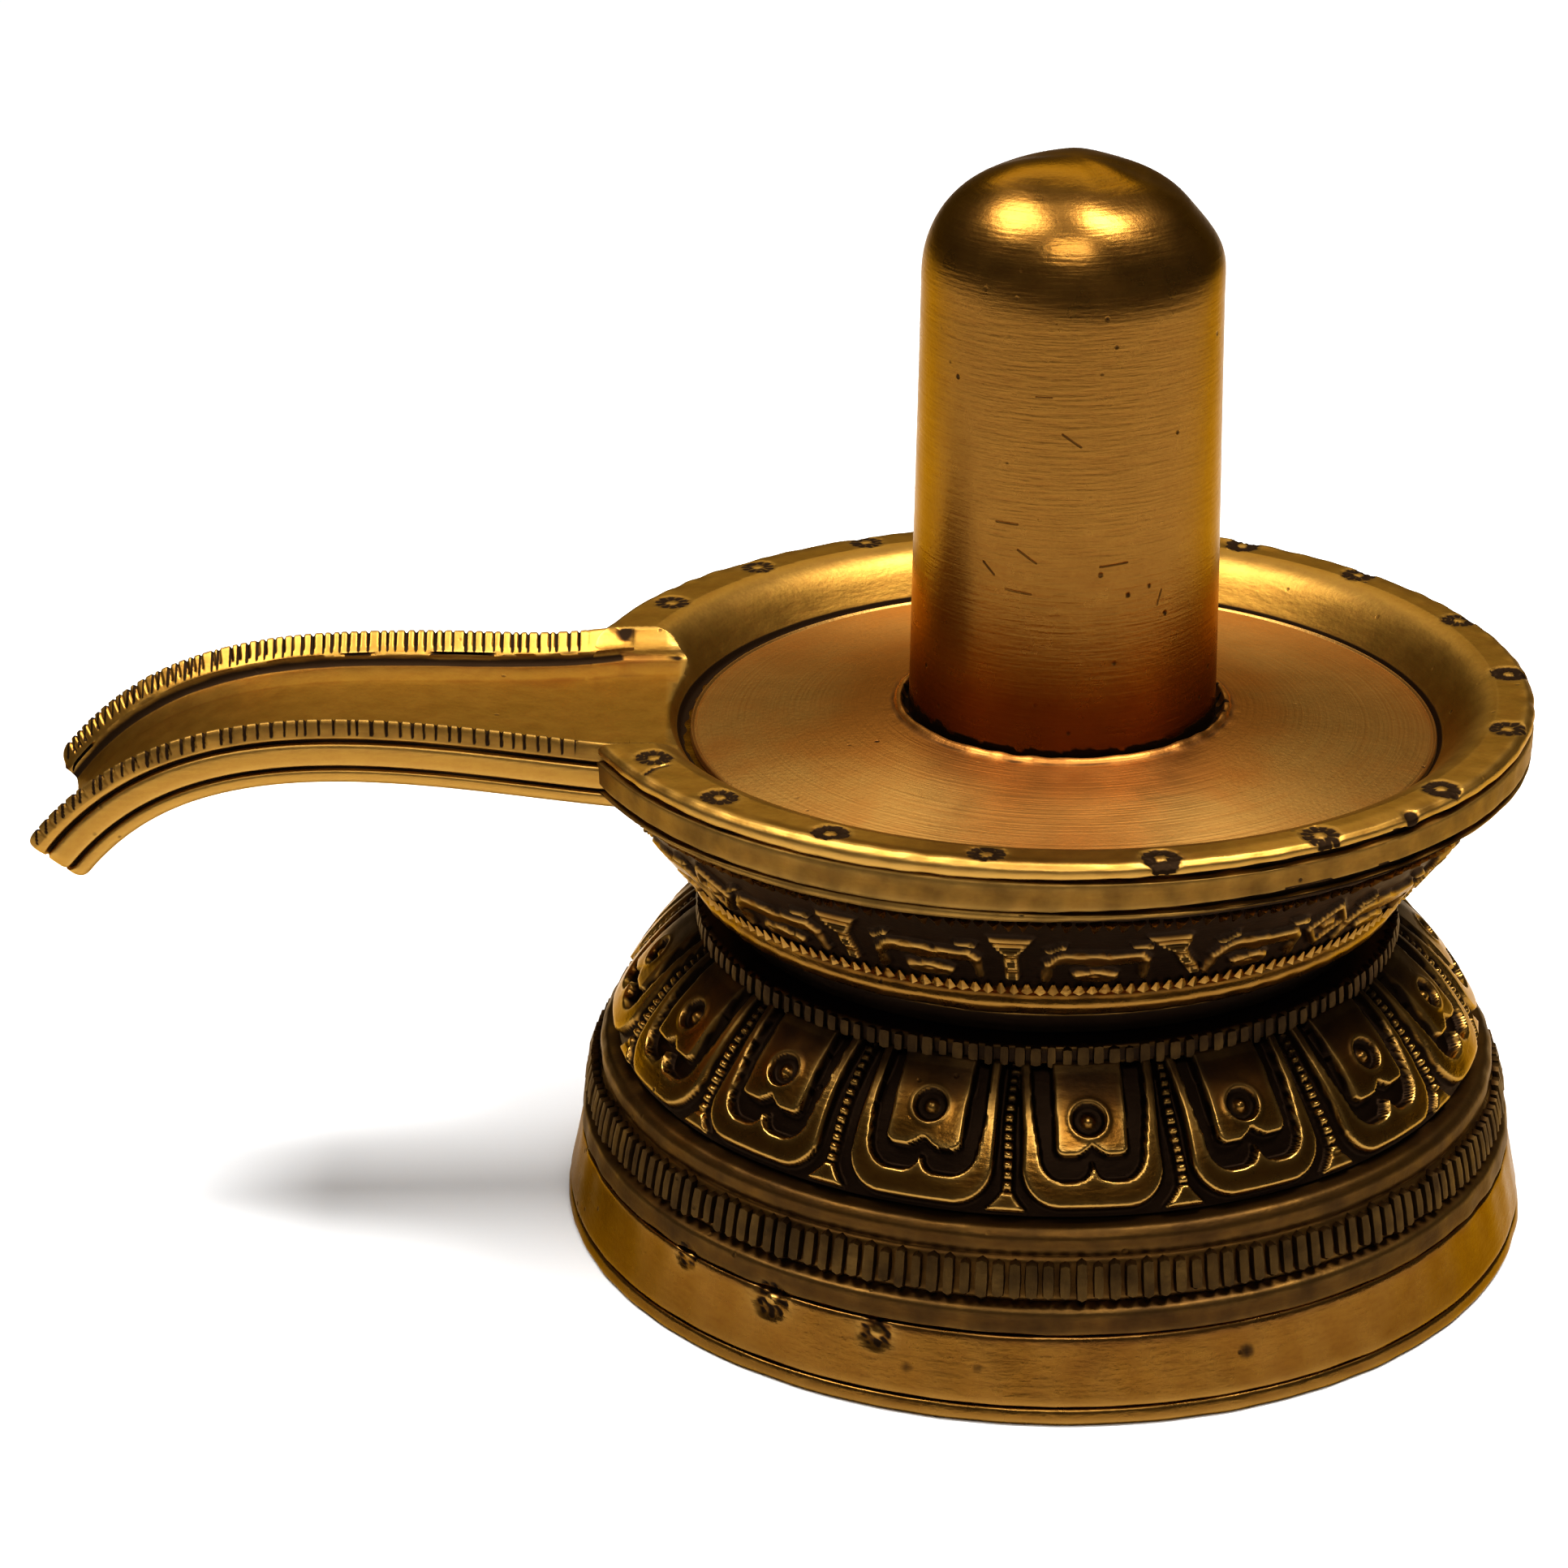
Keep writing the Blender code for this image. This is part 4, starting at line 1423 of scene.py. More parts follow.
    def swept(self, path: np.ndarray, side: np.ndarray, rise: np.ndarray) -> np.ndarray:
        """Places sections along the crest.

        Args:
            path: the crest's points.
            side: each section's points across, for each station.
            rise: their heights from the crest.

        Returns:
            The points, as stations of section points.
        """
        along = np.gradient(path, axis=0)
        along = along / np.hypot(along[:, 0], along[:, 1])[:, None]
        out = path[:, :1] - along[:, 1:] * rise
        height = path[:, 1:] + along[:, :1] * rise
        return np.stack([-out, side, height], axis=2)

    def spout_section(self) -> tuple[np.ndarray, np.ndarray]:
        """The outside of the spout, from the top middle over one side to the middle below.

        Returns:
            Offsets from the half width, and heights from the crest.
        """
        mm = 0.001
        corners = (
            (-3.4, -2.3, 0.6), (-2.8, -1.95, 0.4), (-0.6, -0.15, 0.3), (-0.2, -0.15, 0.2),
            (0.05, -0.6, 0.25), (0.12, -1.4, 0.4), (-0.05, -2.4, 0.4), (-0.6, -2.65, 0.2),
            (-0.72, -2.95, 0.2), (0.02, -3.2, 0.25), (0.05, -4.4, 0.6), (-0.05, -5.7, 0.6),
            (-0.6, -5.85, 0.2), (-0.72, -6.15, 0.2), (-0.1, -6.4, 0.2), (-0.12, -7.3, 0.4),
            (-0.5, -7.9, 0.25), (-1.4, -8.1, 0.5), (-4.0, -8.3, 1.0),
        )
        line = Outline(corners[0][0], corners[0][1])
        for offset, rise, step in corners[1:]:
            line.to(offset, rise, step)
        points = line.softened(1) * mm
        return points[:, 0], points[:, 1]

    def spout(self) -> bpy.types.Mesh:
        """The spout as a solid bar with its incised sides and notched crests.

        Returns:
            A closed mesh.
        """
        path = self.crest(620, self.spout_start)
        offset, rise = self.spout_section()
        half = self.half_width(path[:, 0])[:, None]
        run = length_along(path)[:, None]
        crests = ((1.0, self.far_seed, self.far_pitch), (-1.0, self.near_seed, self.near_pitch))
        sides = []
        rises = []
        for hand, seed, pitch in crests:
            notch = self.notches(run, run[-1, 0], seed, pitch)
            reach = eased(offset + 0.0024, 0.0005) * eased(rise + 0.0017, 0.0005)
            free = eased(path[:, :1] - self.rim_radius + 0.001, 0.002)
            cut = notch * reach[None, :] * free
            dent = Wobble(seed, 8, 9).at(run * 40, rise[None, :] * 3) * 0.00012
            groove = 1 + 0.35 * Wobble(seed + 5, 6, 9).at(run * 60, 0.0 * rise[None, :])
            deep = np.minimum(offset + 0.0003, 0.0) * (rise < -0.002) * (rise > -0.0066)
            sides.append(hand * (half + offset[None, :] + deep * (groove - 1) + dent - cut * 0.00012))
            rises.append(rise[None, :] - cut * 0.00042 + dent * 0.4)
        into_tip = 1 - (run[-1, 0] - run) / self.tip_rounding
        tip = 1 - np.sqrt(1 - np.clip(into_tip, 0.0, 0.995) ** 2)
        sides = [side - np.sign(side) * 0.0012 * tip for side in sides]
        rises = [rise + (-0.0042 - rise) * 0.3 * tip for rise in rises]
        across = np.linspace(-1.0, 1.0, 9)[None, 1:-1]
        top_side = sides[0][:, :1] * -across
        top_rise = rises[0][:, :1] + 0.0 * across
        low_side = sides[0][:, -1:] * across[:, ::-1]
        low_rise = rises[0][:, -1:] - 0.0002 * (1 - across ** 2)
        # Right side down, underside across to the left, left side up, then the top back to the right.
        side = np.concatenate([sides[0], low_side, sides[1][:, ::-1], top_side], axis=1)
        rise = np.concatenate([rises[0], low_rise, rises[1][:, ::-1], top_rise], axis=1)
        return closed_mesh("spout", self.swept(path, side, rise)[:, ::-1])

    def notches(self, run: np.ndarray, length: float, seed: int, pitch: float) -> np.ndarray:
        """How deep the notches across a crest are along it, 0 to 1.

        Args:
            run: the way along the crest to each point, as one column.
            length: the crest's whole length.
            seed: which crest it is.
            pitch: the usual distance between two notches.

        Returns:
            The depths, as one column.
        """
        draw = np.random.default_rng(seed)
        count = int(length / pitch)
        middles = (np.arange(count) + draw.uniform(-0.22, 0.22, count)) * pitch
        widths = draw.uniform(0.00020, 0.00034, count)
        depths = draw.uniform(0.6, 1.0, count)
        nearest = np.argmin(np.abs(run - middles[None, :]), axis=1)
        away = np.abs(run[:, 0] - middles[nearest]) / widths[nearest]
        return (np.clip(1 - away, 0, 1) * depths[nearest])[:, None]

    def channel(self, spare: float, sloped: bool) -> bpy.types.Mesh:
        """The space of the channel along the spout, open into the dish and at the tip.

        Args:
            spare: how much wider it is than the channel itself.
            sloped: whether it also takes the sloped inner faces of the crests.

        Returns:
            A closed mesh.
        """
        path = self.crest(120, self.channel_start)
        beyond = path[-1] + (path[-1] - path[-2]) / np.hypot(*(path[-1] - path[-2])) * 0.006
        path = np.concatenate([path, np.linspace(path[-1], beyond, 6)[1:]])
        out = path[:, 0]
        edge = (self.half_width(out) - self.crest_width + spare)[:, None]
        above = [(0.0040, 0.0060), (0.0023, -0.0001)] if sloped else [(0.0, 0.0060)]
        wall = above + [
            (0.0, -0.0019), (-0.0001, -0.0024), (-0.0003, -0.0029), (-0.0005, -0.0032), (-0.0007, -0.0033),
            (-0.0010, -0.0034), (-0.0022, -0.0037), (-0.0040, -0.0040),
        ]
        line = Outline(*wall[0])
        for offset, rise in wall[1:]:
            line.to(offset, rise, 0.0006)
        offset, rise = line.softened(1).T
        across = np.linspace(1.0, -1.0, 14)[None, 1:-1]
        right = edge + offset[None, :]
        floor = right[:, -1:] * across
        side = np.concatenate([right, floor, -right[:, ::-1]], axis=1)
        low = rise[-1] - 0.00015 * (1 - across ** 2) - spare + 0.0 * edge
        rise = np.concatenate([rise[None, :] + 0.0 * edge, low, rise[None, ::-1] + 0.0 * edge], axis=1)
        return closed_mesh("channel", self.swept(path, side, rise)[:, ::-1])

    def channel_dirt(self, points: np.ndarray) -> np.ndarray:
        """The old dirt along the foot of the channel's walls.

        Args:
            points: the piece's points.

        Returns:
            How dark each point is, 0 to 1.
        """
        beside = self.half_width(-points[:, 0]) - self.crest_width - np.abs(points[:, 1])
        under = points[:, 0] < -0.0500
        return 0.8 * eased(0.00042 - np.abs(beside - 0.00045), 0.0003) * under

    def crest_dirt_and_shade(self, points: np.ndarray) -> np.ndarray:
        """The dirt in the cuts across the crests, and painted shade on the near crest's outer side.

        Args:
            points: the spout's points.

        Returns:
            How dark each point is, 0 to 1.
        """
        path = self.crest(400, self.spout_start)
        length = length_along(path)
        out = -points[:, 0]
        run = np.interp(out, path[:, 0], length)[:, None]
        over = points[:, 2] - np.interp(out, path[:, 0], path[:, 1])
        near = points[:, 1] < 0
        far_cuts = self.notches(run, length[-1], self.far_seed, self.far_pitch)[:, 0]
        near_cuts = self.notches(run, length[-1], self.near_seed, self.near_pitch)[:, 0]
        cuts = np.where(near, near_cuts, far_cuts) * eased(over + 0.0021, 0.0004) * (out > self.rim_radius)
        beside = self.half_width(out) - np.abs(points[:, 1])
        # Painted shade on the near crest's outer side, below its top.
        near_crest_shade = 0.34 * near * eased(over + 0.0027, 0.0006) * eased(0.0022 - beside, 0.0006)
        return np.maximum(0.9 * eased(cuts, 0.6), near_crest_shade)

    def rim_piece(self) -> bpy.types.Object:
        """The hollowed rim, with the channel's mouth cut through it.

        Returns:
            The new object.
        """
        body = combined(self.rim(), self.hollow(), "DIFFERENCE")
        body = combined(body, self.channel(0.0, True), "DIFFERENCE")
        points = points_of(body)
        stamped = self.stamped(points)
        flaws = self.rim_flaws(points)
        points[:, 2] -= stamped + 0.0003 * flaws
        set_points(body, points)
        mark_relief(body, 12, 0.00014)
        out = np.hypot(points[:, 0] - self.hollow_centre, points[:, 1])
        seat = eased(self.floor_edge - 0.0002 - points[:, 2], 0.0004) * (out < self.floor_radius + 0.001)
        mouth = (points[:, 0] < -0.044) * (np.abs(points[:, 1]) < self.half_width(-points[:, 0]) - 0.0022)
        outside = 0.37 * eased(self.rim_top - 0.0012 - points[:, 2], 0.0008) * (out > 0.053) * (1 - mouth)
        polish(body, mouth)
        dark = [seat, 0.8 * eased(stamped, 0.0002), flaws, outside, self.channel_dirt(points)]
        store_over(body, np.maximum.reduce(dark))
        return show("dish_rim", body, self.finish, 55.0)

    def rim_flaws(self, points: np.ndarray) -> np.ndarray:
        """The crack and the casting flaw in the rim.

        Args:
            points: the rim's points.

        Returns:
            How deep they are at each point, 0 to 1.
        """
        bend = (-0.0457, -0.0260)
        before = to_segment(points[:, 0], points[:, 1], (-0.0466, -0.0276), bend)
        after = to_segment(points[:, 0], points[:, 1], bend, (-0.0441, -0.0250))
        crack = eased(0.0003 - np.minimum(before, after), 0.00022)
        turn = math.radians(-49.5)
        out, side = self.rim_radius * math.cos(turn), self.rim_radius * math.sin(turn)
        away = (points - (out, side, self.rim_top - 0.0006)) * (1.0, 1.0, 0.7)
        flaw = eased(0.0012 - np.linalg.norm(away, axis=1), 0.0006)
        return np.maximum(crack, 0.9 * flaw) * (points[:, 2] > self.rim_top - 0.0022)

    def spout_piece(self) -> bpy.types.Object:
        """The spout, which runs into the rim's solid wall.

        Returns:
            The new object.
        """
        body = combined(self.spout(), self.channel(0.00003, False), "DIFFERENCE")
        points = points_of(body)
        mark_relief(body, 12, 0.00014)
        inside = np.abs(points[:, 1]) < self.half_width(-points[:, 0]) - 0.0034
        polish(body, inside)
        store_over(body, np.maximum(self.channel_dirt(points), self.crest_dirt_and_shade(points)))
        return show("dish_spout", body, self.finish, 55.0)

    def stamped(self, points: np.ndarray) -> np.ndarray:
        """How deep the flower stamps on the rim's top sink it.

        Args:
            points: the rim's points.

        Returns:
            The depth at each point, in metres.
        """
        depth = np.zeros(len(points))
        top = points[:, 2] > self.rim_top - 0.0012
        draw = np.random.default_rng(SEED)
        for degrees in self.stamps:
            turn = math.radians(degrees)
            radius = self.stamp_circle + draw.normal(0.0, 0.00025)
            across = points[:, 0] - self.hollow_centre - radius * math.cos(turn)
            deep = points[:, 1] - radius * math.sin(turn)
            strokes = int(draw.integers(9, 12))
            phase = draw.uniform(0, 6)
            sunk = self.stamp_depth * draw.uniform(0.7, 1.1) * top
            depth += sunk * flower(across, deep, self.stamp_radius, strokes, phase, 0.35)
        return depth

    def floor(self) -> bpy.types.Object:
        """The crowned, lathe-turned floor with the thin ring round the pillar.

        Returns:
            The new object.
        """
        edge = self.floor_radius - 0.0007
        socket = self.floor_at_ring - 0.001
        under = self.floor_edge - 0.0009
        line = Outline(0.0, socket).to(self.pillar_radius - 0.0004, socket, 0.006)
        line.to(self.pillar_radius + 0.0004, self.floor_at_ring - 0.0005, 0.0002)
        line.to(self.pillar_radius + 0.0009, self.floor_at_ring + self.ring_rise, 0.0002)
        line.to(self.ring_outer - 0.0004, self.floor_at_ring + self.ring_rise * 0.8, 0.0002)
        line.to(self.ring_outer, self.floor_at_ring, 0.0002)
        count = 40
        for i in range(1, count + 1):
            share = i / count
            radius = self.ring_outer + (edge - 0.0007 - self.ring_outer) * share
            fall = (self.floor_at_ring - self.floor_edge) * share ** 1.15
            line.to(radius, self.floor_at_ring - fall, 0.0006)
        line.to(edge - 0.0005, self.floor_edge - 0.00012, 0.0001)
        line.to(edge - 0.0002, self.floor_edge + 0.00018, 0.0001)
        line.to(edge, self.floor_edge, 0.0001).to(edge, under, 0.0002).to(0.0, under, 0.012)
        profile = line.softened(1)
        columns = 512
        turn = columns_round(columns)
        near_ring = eased(profile[:, :1] - 0.017, 0.001) * eased(0.0205 - profile[:, :1], 0.001)
        lift = Wobble(41, 12, 40).at(turn, profile[:, :1]) * 0.00006 * near_ring
        mesh = closed_mesh("floor", turned(profile, columns, lift, self.floor_centre))
        mark_relief(mesh, 6, 0.00016)
        points = points_of(mesh)
        out = np.hypot(points[:, 0] - self.floor_centre, points[:, 1])
        ragged = 0.0004 * Wobble(42, 16, 60).at(np.arctan2(points[:, 1], points[:, 0]), out)
        seam = eased(self.pillar_radius + 0.0007 + ragged - out, 0.0004)
        store_over(mesh, seam)
        store(mesh, "copper", 0.10 + 0.25 * eased(0.034 - out, 0.016))
        return show("dish_floor", mesh, self.turned_metal)

    def bowl(self) -> bpy.types.Object:
        """The bowl under the rim, with its carved frieze.

        Returns:
            The new object.
        """
        step = 0.00029
        top = self.rim_bottom + 0.0004
        line = Outline(0.0, top).to(0.051, top, 0.01).to(0.0529, self.rim_bottom + 0.0002, step)
        line.to(self.wall_top_radius + 0.0006, self.rim_bottom - 0.0006, step)
        line.to(self.wall_top_radius - 0.0004, self.rim_bottom - 0.0010, step)
        line.to(self.wall_foot_radius + 0.0006, self.wall_foot + 0.0012, step)
        line.to(self.wall_foot_radius - 0.0003, self.wall_foot + 0.0002, step)
        line.to(self.moulding_radius + 0.0003, self.wall_foot - 0.0009, step)
        line.to(self.moulding_radius - 0.0004, self.bowl_bottom + 0.0008, step)
        line.to(0.0400, self.bowl_bottom, step).to(0.03, self.bowl_bottom, 0.003)
        line.to(0.0, self.bowl_bottom, 0.01)
        profile = line.softened(2)
        columns = 896
        lift = self.frieze(profile, columns_round(columns))
        mesh = closed_mesh("bowl", turned(profile, columns, lift))
        mark_relief(mesh, 12, 0.00026)
        height = points_of(mesh)[:, 2]
        raised = np.zeros(len(height))
        raised[: lift.size] = lift.ravel()
        low, high = self.frieze_ground
        band = eased(height - low, 0.0005) * eased(high - height, 0.0005)
        # Darker towards the top of the band, under the rim: painted shade.
        shade = 0.14 * eased(height - 0.050, 0.008)
        store_over(mesh, band * (0.85 - 0.68 * eased(raised, 0.0005) + shade))
        store(mesh, "copper", 0.15 * band)
        return show("dish_bowl", mesh, self.carved, 80.0)

    def frieze(self, profile: np.ndarray, turn: np.ndarray) -> np.ndarray:
        """The carving round the bowl: stalks between long hooked bars.

        Args:
            profile: radius and height of each row.
            turn: the direction of each column.

        Returns:
            Heights over the bowl, as rows of columns.
        """
        mm = 0.001
        spread = self.wall_top_radius - self.wall_foot_radius
        lean = math.cos(math.atan2(spread, self.rim_bottom - self.wall_foot))
        up = (profile[:, 1:] - self.frieze_foot) / lean / mm
        on_wall = eased(profile[:, :1] - 0.0405, 0.001)
        cell = FULL_TURN / self.frieze_cells
        draw = np.random.default_rng(SEED + 1)
        relief = np.zeros((len(profile), turn.shape[1]))
        for index in range(self.frieze_cells):
            middle = self.frieze_turn + index * cell + draw.normal(0, 0.01)
            off = apart(turn, middle)
            near = np.abs(off[0]) < cell * 0.6
            across = off[:, near] * profile[:, :1] / mm
            slant = 0.0 if index % 3 == 0 else draw.choice((-0.55, 0.45))
            leaning = across - slant * (up - 4.4)
            shape = self.frieze_cell(leaning, across, up, index % 3 == 2)
            relief[:, near] = np.maximum(relief[:, near], shape * mm)
        rough = Wobble(51, 14, 80).at(turn, profile[:, 1:]) * 0.00004
        slow = Wobble(52, 7, 6).at(turn, profile[:, 1:]) * 0.00010
        return (relief * eased(up + 0.5, 0.4) * eased(9.4 - up, 0.4) + rough + slow) * on_wall

    def frieze_cell(
        self, leaning: np.ndarray, across: np.ndarray, up: np.ndarray, blossom: bool
    ) -> np.ndarray:
        """One stalk or blossom of the frieze and the bars at its sides, in millimetres.

        Args:
            leaning: distance from the stalk's own leaning middle line.
            across: distance from the cell's upright middle line.
            up: height over the frieze's foot.
            blossom: whether a blossom stands in place of the stalk.

        Returns:
            Heights over the bowl.
        """
        if blossom:
            lozenge = 3.2 - np.abs(across) - np.abs(up - 4.4) * 0.7
            heart = 1.1 - np.hypot(across, up - 4.4)
            stalk = eased(lozenge, 0.4) * 0.7 - eased(lozenge - 1.0, 0.3) * 0.45 + eased(heart, 0.4) * 0.5
        else:
            half = 0.95 + 1.7 * eased(up - 4.8, 4.0)
            hatch = 0.7 + 0.3 * np.cos(FULL_TURN * up / 0.62)
            ends = eased(up + 0.1, 0.4) * eased(8.8 - up, 0.4)
            stalk = eased(half - np.abs(leaning), 0.35) * ends * 0.85 * hatch
        side = np.abs(across)
        up = up + 0.3 * np.sin(across * 0.55 + 0.8) + 0.12 * np.sin(across * 1.9)
        bars = (
            ((5.2, 4.4), (9.9, 4.6), 1.15),
            ((5.2, 4.6), (4.0, 3.4), 0.85),
            ((4.0, 3.6), (3.5, 0.4), 0.70),
            ((3.9, 6.3), (5.8, 6.9), 0.42),
            ((7.2, 0.7), (9.9, 1.1), 1.05),
        )
        raised = [eased(half - to_segment(side, up, start, end), 0.3) * 0.75 for start, end, half in bars]
        crease = 0.4 * eased(0.28 - to_segment(side, up, (7.6, 1.0), (9.2, 1.1)), 0.15)
        return np.maximum.reduce([stalk, *raised]) - crease

    def teeth_row(self, upper: bool) -> bpy.types.Object:
        """One of the two rows of small pointed teeth that edge the frieze.

        Args:
            upper: whether it is the row above the frieze.

        Returns:
            The new object.
        """
        if upper:
            ring = StudRing(
                name="dish_teeth_upper",
                shape=StudShape.TOOTH_DOWN,
                radius=0.0525,
                height=0.0581,
                count=214,
                depth=0.0014,
                width=0.0014,
                tall=0.0016,
                lean=35.0,
                jitter=0.2,
                grime_and_shade=0.0,
            )
        else:
            ring = StudRing(
                name="dish_teeth_lower",
                shape=StudShape.TOOTH_UP,
                radius=0.0436,
                height=0.0460,
                count=196,
                depth=0.0011,
                width=0.0013,
                tall=0.0013,
                lean=35.0,
                jitter=0.2,
                grime_and_shade=0.1,
            )
        return ring.build(self.carved)


# The pillar


@dataclass
class Pillar:
    """The plain domed pillar that stands in the dish.

    Attributes:
        finish: its material.
        node: the node that it stands for.
        dome_height: how tall its rounded top is, in metres.
        dome_power: how square the dome's outline is, where 2 gives an ellipse.
        shoulder_shrink: how much narrower the dome's foot is than the pillar's, in metres.
        lean: how far its top leans away from the spout, in metres.
        slump: how far the dome is sunk on that side, in metres.
        seam_height: how high the dirt in the seam round its foot reaches, in metres.
        red_height: how high the redder metal over its foot reaches, in metres.
    """

    finish: bpy.types.Material
    node: str = "shiva_lingam"
    dome_height: float = 0.0150
    dome_power: float = 2.42
    shoulder_shrink: float = 0.0009
    lean: float = 0.0003
    slump: float = 0.0013
    seam_height: float = 0.0637
    red_height: float = 0.078

    def pieces(self) -> list[bpy.types.Object]:
        """Builds the pillar.

        Returns:
            The new objects.
        """
        low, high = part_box(self.node)
        radius = (high.y - low.y) / 2
        centre = (low.x + high.x) / 2
        shoulder = high.z - self.dome_height
        line = Outline(0.0, high.z)
        count = 60
        for i in range(1, count + 1):
            turn = math.pi / 2 * i / count
            wide = math.sin(turn) ** (2 / self.dome_power)
            tall = max(math.cos(turn), 0.0) ** (2 / self.dome_power)
            line.to((radius - self.shoulder_shrink) * wide, shoulder + self.dome_height * tall, 0.001)
        line.to(radius, low.z, 0.0005).to(0.0, low.z, 0.01)
        profile = line.softened(1)
        columns = 288
        turn = columns_round(columns)
        height = profile[:, 1:]
        hand = Wobble(61, 6, 4).at(turn, height) * 0.00016 + Wobble(62, 10, 9).at(turn, height) * 0.00007
        on_dome = Wobble(63, 6, 3).at(turn, height) * 0.00022 * eased(height - shoulder, 0.006)
        away_from_spout = np.maximum(np.cos(turn), 0.0) ** 1.5
        sunk = self.slump * eased(height - high.z + 0.0120, 0.007) * away_from_spout
        skin = turned(profile, columns, (hand + on_dome - sunk) * eased(profile[:, :1], 0.008), centre)
        skin[:, :, 0] += self.lean * (skin[:, :, 2] - low.z) / (high.z - low.z)
        mesh = closed_mesh("pillar", skin)
        mark_relief(mesh, 6, 0.0004)
        points = points_of(mesh)
        around = np.arctan2(points[:, 1], points[:, 0] - centre)
        ragged = 0.0003 * Wobble(64, 18, 50).at(around, points[:, 2])
        store_over(mesh, eased(self.seam_height + ragged - points[:, 2], 0.0004))
        store(mesh, "copper", 0.40 * eased(self.red_height - points[:, 2], 0.012))
        return [show("pillar_lingam", mesh, self.finish)]


# The studio


@dataclass
class Studio:
    """The pale floor, the soft lights and the camera.

    Attributes:
        eye: where the camera stands, in metres.
        look: the direction that it looks in.
        roll: how far it is turned round that direction, in radians.
        focal_pixels: its focal length, in the photograph's pixels.
        frame_pixels: the photograph's width, in pixels.
        sensor: the width of its sensor, in millimetres.
    """

    eye: tuple[float, float, float] = (-0.0384, -0.4386, 0.2360)
    look: tuple[float, float, float] = (0.0157, 0.9224, -0.3859)
    roll: float = math.radians(-0.45)
    focal_pixels: float = 5000.0
    frame_pixels: float = 1932.0
    sensor: float = 36.0

    def floor(self) -> None:
        """Lays the pale floor."""
        mesh = bpy.data.meshes.new("floor_sheet")
        reach = 3.0
        corners = [(-reach, -reach, 0), (reach, -reach, 0), (reach, reach, 0), (-reach, reach, 0)]
        mesh.from_pydata(corners, [], [(0, 1, 2, 3)])
        graph = Graph("studio_floor")
        surface = {"Base Color": (0.90, 0.90, 0.90, 1.0), "Roughness": 0.8}
        graph.finish(graph.add("ShaderNodeBsdfPrincipled", {}, surface))
        sheet = bpy.data.objects.new("studio_floor", mesh)
        mesh.materials.append(graph.material)
        bpy.context.scene.collection.objects.link(sheet)

    def lamp(self, name: str, place: tuple, size: tuple[float, float], power: float) -> None:
        """Hangs one soft box that faces the object.

        Args:
            name: the lamp's name.
            place: where it hangs, in metres.
            size: its width and height.
            power: its power in watts.
        """
        light = bpy.data.lights.new(name, "AREA")
        light.shape = "RECTANGLE"
        light.size, light.size_y = size
        light.energy = power
        lamp = bpy.data.objects.new(name, light)
        bpy.context.scene.collection.objects.link(lamp)
        aim = Vector((0.0, 0.0, 0.06)) - Vector(place)
        lamp.matrix_world = Matrix.Translation(place) @ aim.to_track_quat("-Z", "Y").to_matrix().to_4x4()

    def lights(self) -> None:
        """Hangs the soft boxes and sets the room's own light."""
        self.lamp("box_left", (-0.36, 0.00, 0.84), (0.42, 0.36), 7.4)
        self.lamp("box_right", (0.30, -0.05, 0.86), (0.26, 0.34), 8.6)
        self.lamp("box_above", (0.0, -0.63, 0.85), (0.50, 0.22), 3.4)
        self.lamp("box_back", (0.0, 1.00, 0.95), (0.9, 0.4), 2.4)
        world = bpy.data.worlds.new("studio_room")
        world.use_nodes = True
        world.node_tree.nodes["Background"].inputs["Color"].default_value = (0.10, 0.10, 0.10, 1.0)
        bpy.context.scene.world = world
        bpy.context.scene.view_settings.view_transform = "Standard"
        bpy.context.scene.view_settings.look = "Medium High Contrast"

    def camera(self) -> None:
        """Sets the camera at the photograph's angle."""
        ahead = Vector(self.look).normalized()
        level = ahead.cross(Vector((0.0, 0.0, 1.0))).normalized()
        upright = level.cross(ahead)
        right = level * math.cos(self.roll) + upright * math.sin(self.roll)
        up = upright * math.cos(self.roll) - level * math.sin(self.roll)
        data = bpy.data.cameras.new("photo_camera")
        data.sensor_width = self.sensor
        data.lens = self.focal_pixels / self.frame_pixels * self.sensor
        camera = bpy.data.objects.new("photo_camera", data)
        bpy.context.scene.collection.objects.link(camera)
        turn = Matrix((right, up, -ahead)).transposed().to_4x4()
        camera.matrix_world = Matrix.Translation(self.eye) @ turn
        bpy.context.scene.camera = camera

    def build(self) -> None:
        """Sets up the whole studio."""
        self.floor()
        self.lights()
        self.camera()
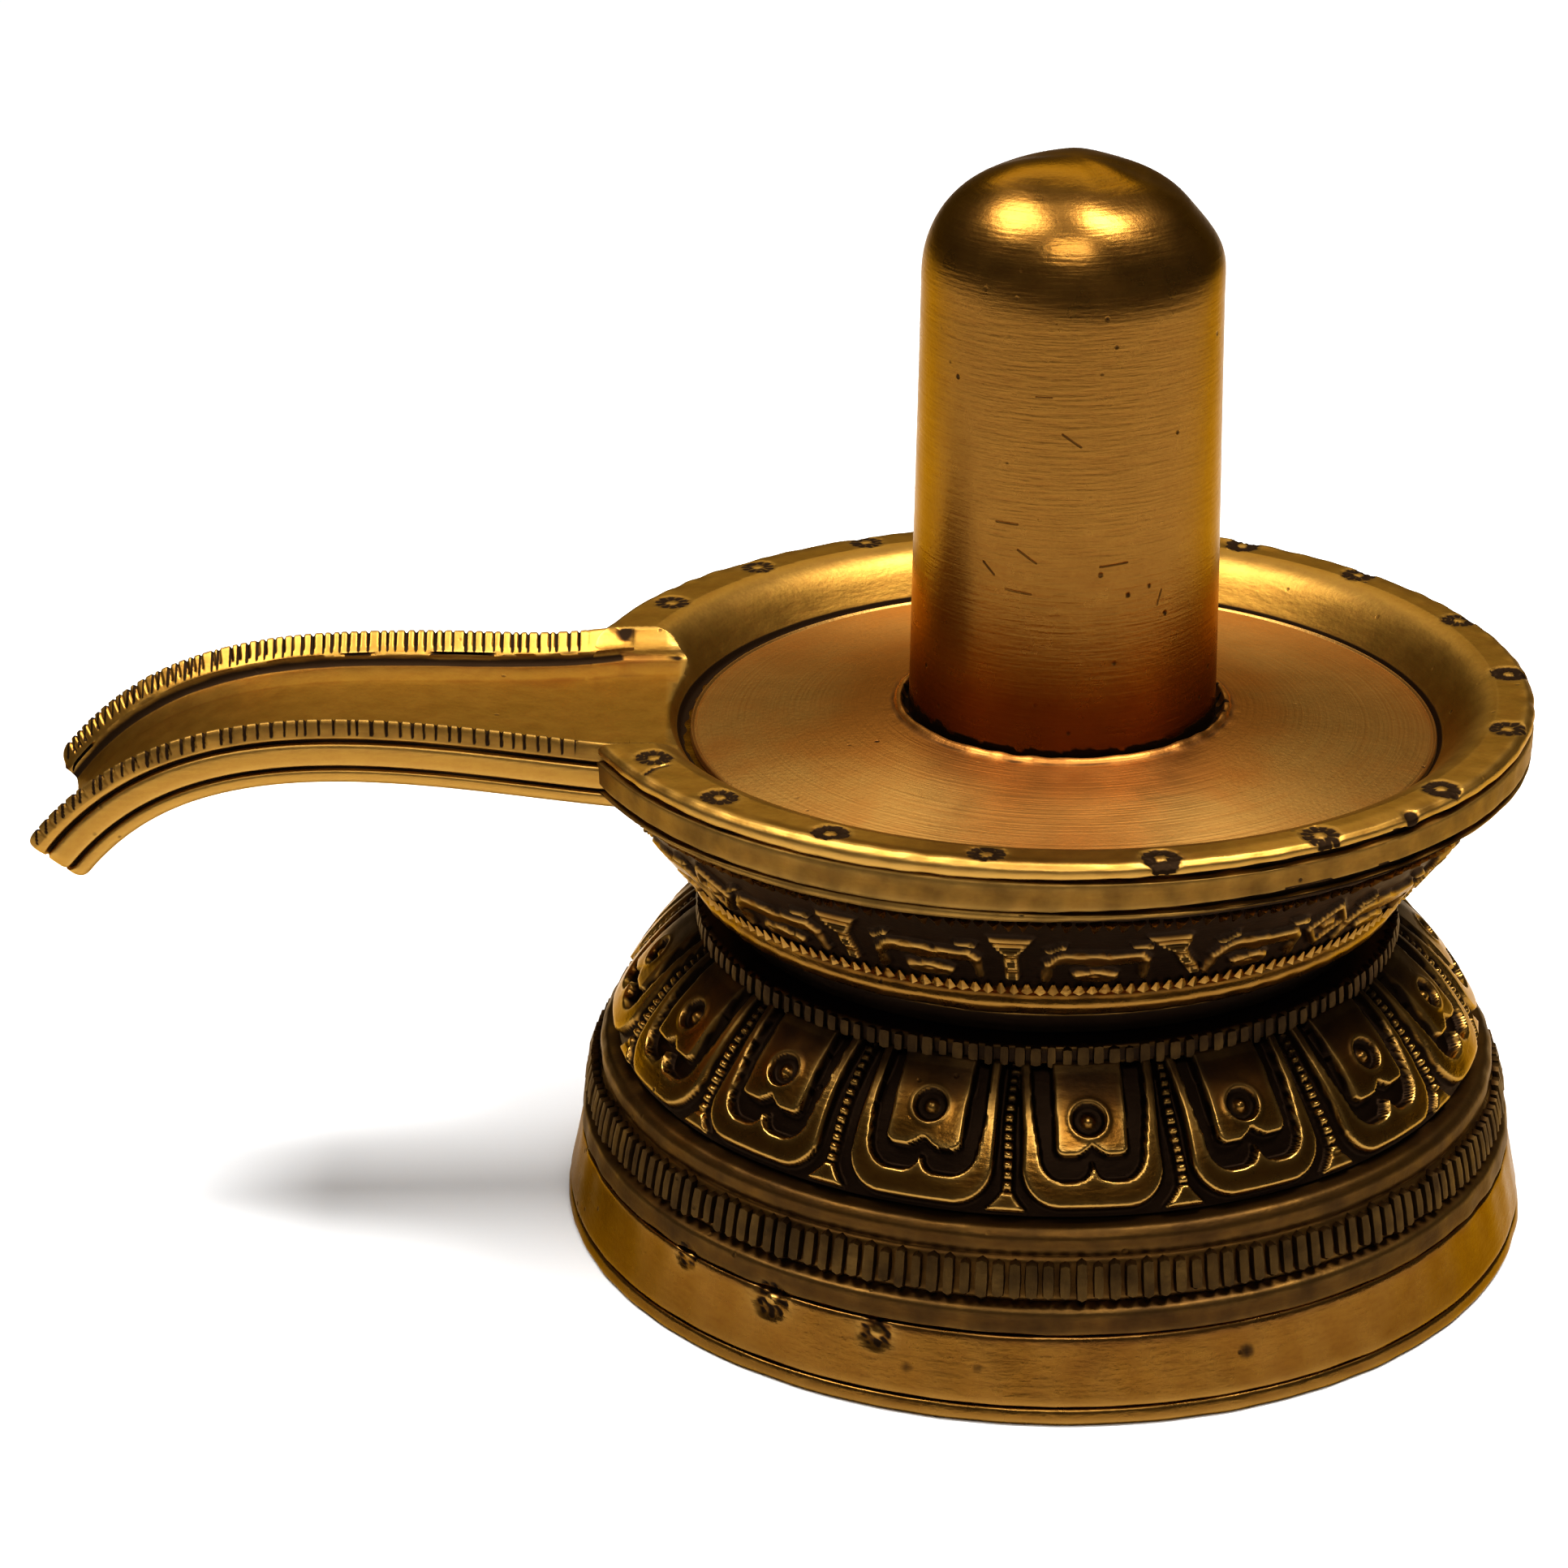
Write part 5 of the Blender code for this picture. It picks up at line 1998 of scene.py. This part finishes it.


# Finishes and the whole object


# Darker than the other brass: the base's patina plus painted shade, for the base and the bowl, which stand
# in shade under the dish.
AGED_SHADED_BRASS = BrassFinish(
    name="aged_brass",
    gold=(0.150, 0.069, 0.0115, 1.0),
    copper=(0.10, 0.037, 0.007, 1.0),
    patina_and_shade=(0.010, 0.004, 0.0015, 1.0),
    roughness=0.28,
    redness=0.35,
    grime_and_shade=0.45,
    marks=Marks.FILED,
    strength=1.0,
)
DISH_BRASS = BrassFinish(
    name="dish_brass",
    gold=(0.275, 0.142, 0.026, 1.0),
    copper=(0.20, 0.08, 0.016, 1.0),
    patina_and_shade=(0.014, 0.006, 0.002, 1.0),
    roughness=0.41,
    redness=0.2,
    grime_and_shade=0.5,
    marks=Marks.FILED,
    strength=0.8,
)
FLOOR_BRASS = BrassFinish(
    name="turned_brass",
    gold=(0.40, 0.215, 0.060, 1.0),
    copper=(0.34, 0.138, 0.032, 1.0),
    patina_and_shade=(0.012, 0.005, 0.002, 1.0),
    roughness=0.42,
    redness=0.35,
    grime_and_shade=0.4,
    marks=Marks.LATHE,
    strength=1.5,
    centre_x=0.0015,
    brushed=0.5,
)
PILLAR_BRASS = BrassFinish(
    name="pillar_brass",
    gold=(0.205, 0.098, 0.0195, 1.0),
    copper=(0.16, 0.060, 0.012, 1.0),
    patina_and_shade=(0.012, 0.005, 0.002, 1.0),
    roughness=0.29,
    redness=0.2,
    grime_and_shade=0.3,
    marks=Marks.ROUND,
    strength=1.0,
    centre_x=0.0015,
    nicks=(
        Nick(-93.5, 0.0997, 0.0026, -35.0),
        Nick(-117.0, 0.0898, 0.0026, 0.0),
        Nick(-77.3, 0.0853, 0.0032, 4.0),
        Nick(-112.0, 0.0820, 0.0030, -5.0),
        Nick(-109.0, 0.0862, 0.0026, -32.0),
        Nick(-124.0, 0.0842, 0.0020, -42.0),
        Nick(-58.0, 0.0806, 0.0018, 70.0),
        Nick(-104.0, 0.1045, 0.0018, 0.0, 0.00012),
    ),
)


def settle(pieces: list[bpy.types.Object], node: str) -> None:
    """Makes pieces ride on the object and stand for a node.

    Args:
        pieces: the new pieces.
        node: the node that they stand for.
    """
    for piece in pieces:
        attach(piece, BODY)
        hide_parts(node)
        log.info("%s stands for %s with %d faces", piece.name, node, len(piece.data.polygons))


def main() -> None:
    """Builds the studio and the three castings, and reports each piece."""
    logging.basicConfig(level=logging.INFO, format="%(name)s: %(message)s")
    Studio().build()
    aged_shaded = AGED_SHADED_BRASS.build()
    base = LotusBase(aged_shaded)
    dish = SpoutedDish(DISH_BRASS.build(), aged_shaded, FLOOR_BRASS.build())
    pillar = Pillar(PILLAR_BRASS.build())
    settle(base.pieces(), base.node)
    settle(dish.pieces(), dish.node)
    settle(pillar.pieces(), pillar.node)


if __name__ == "__main__":
    main()
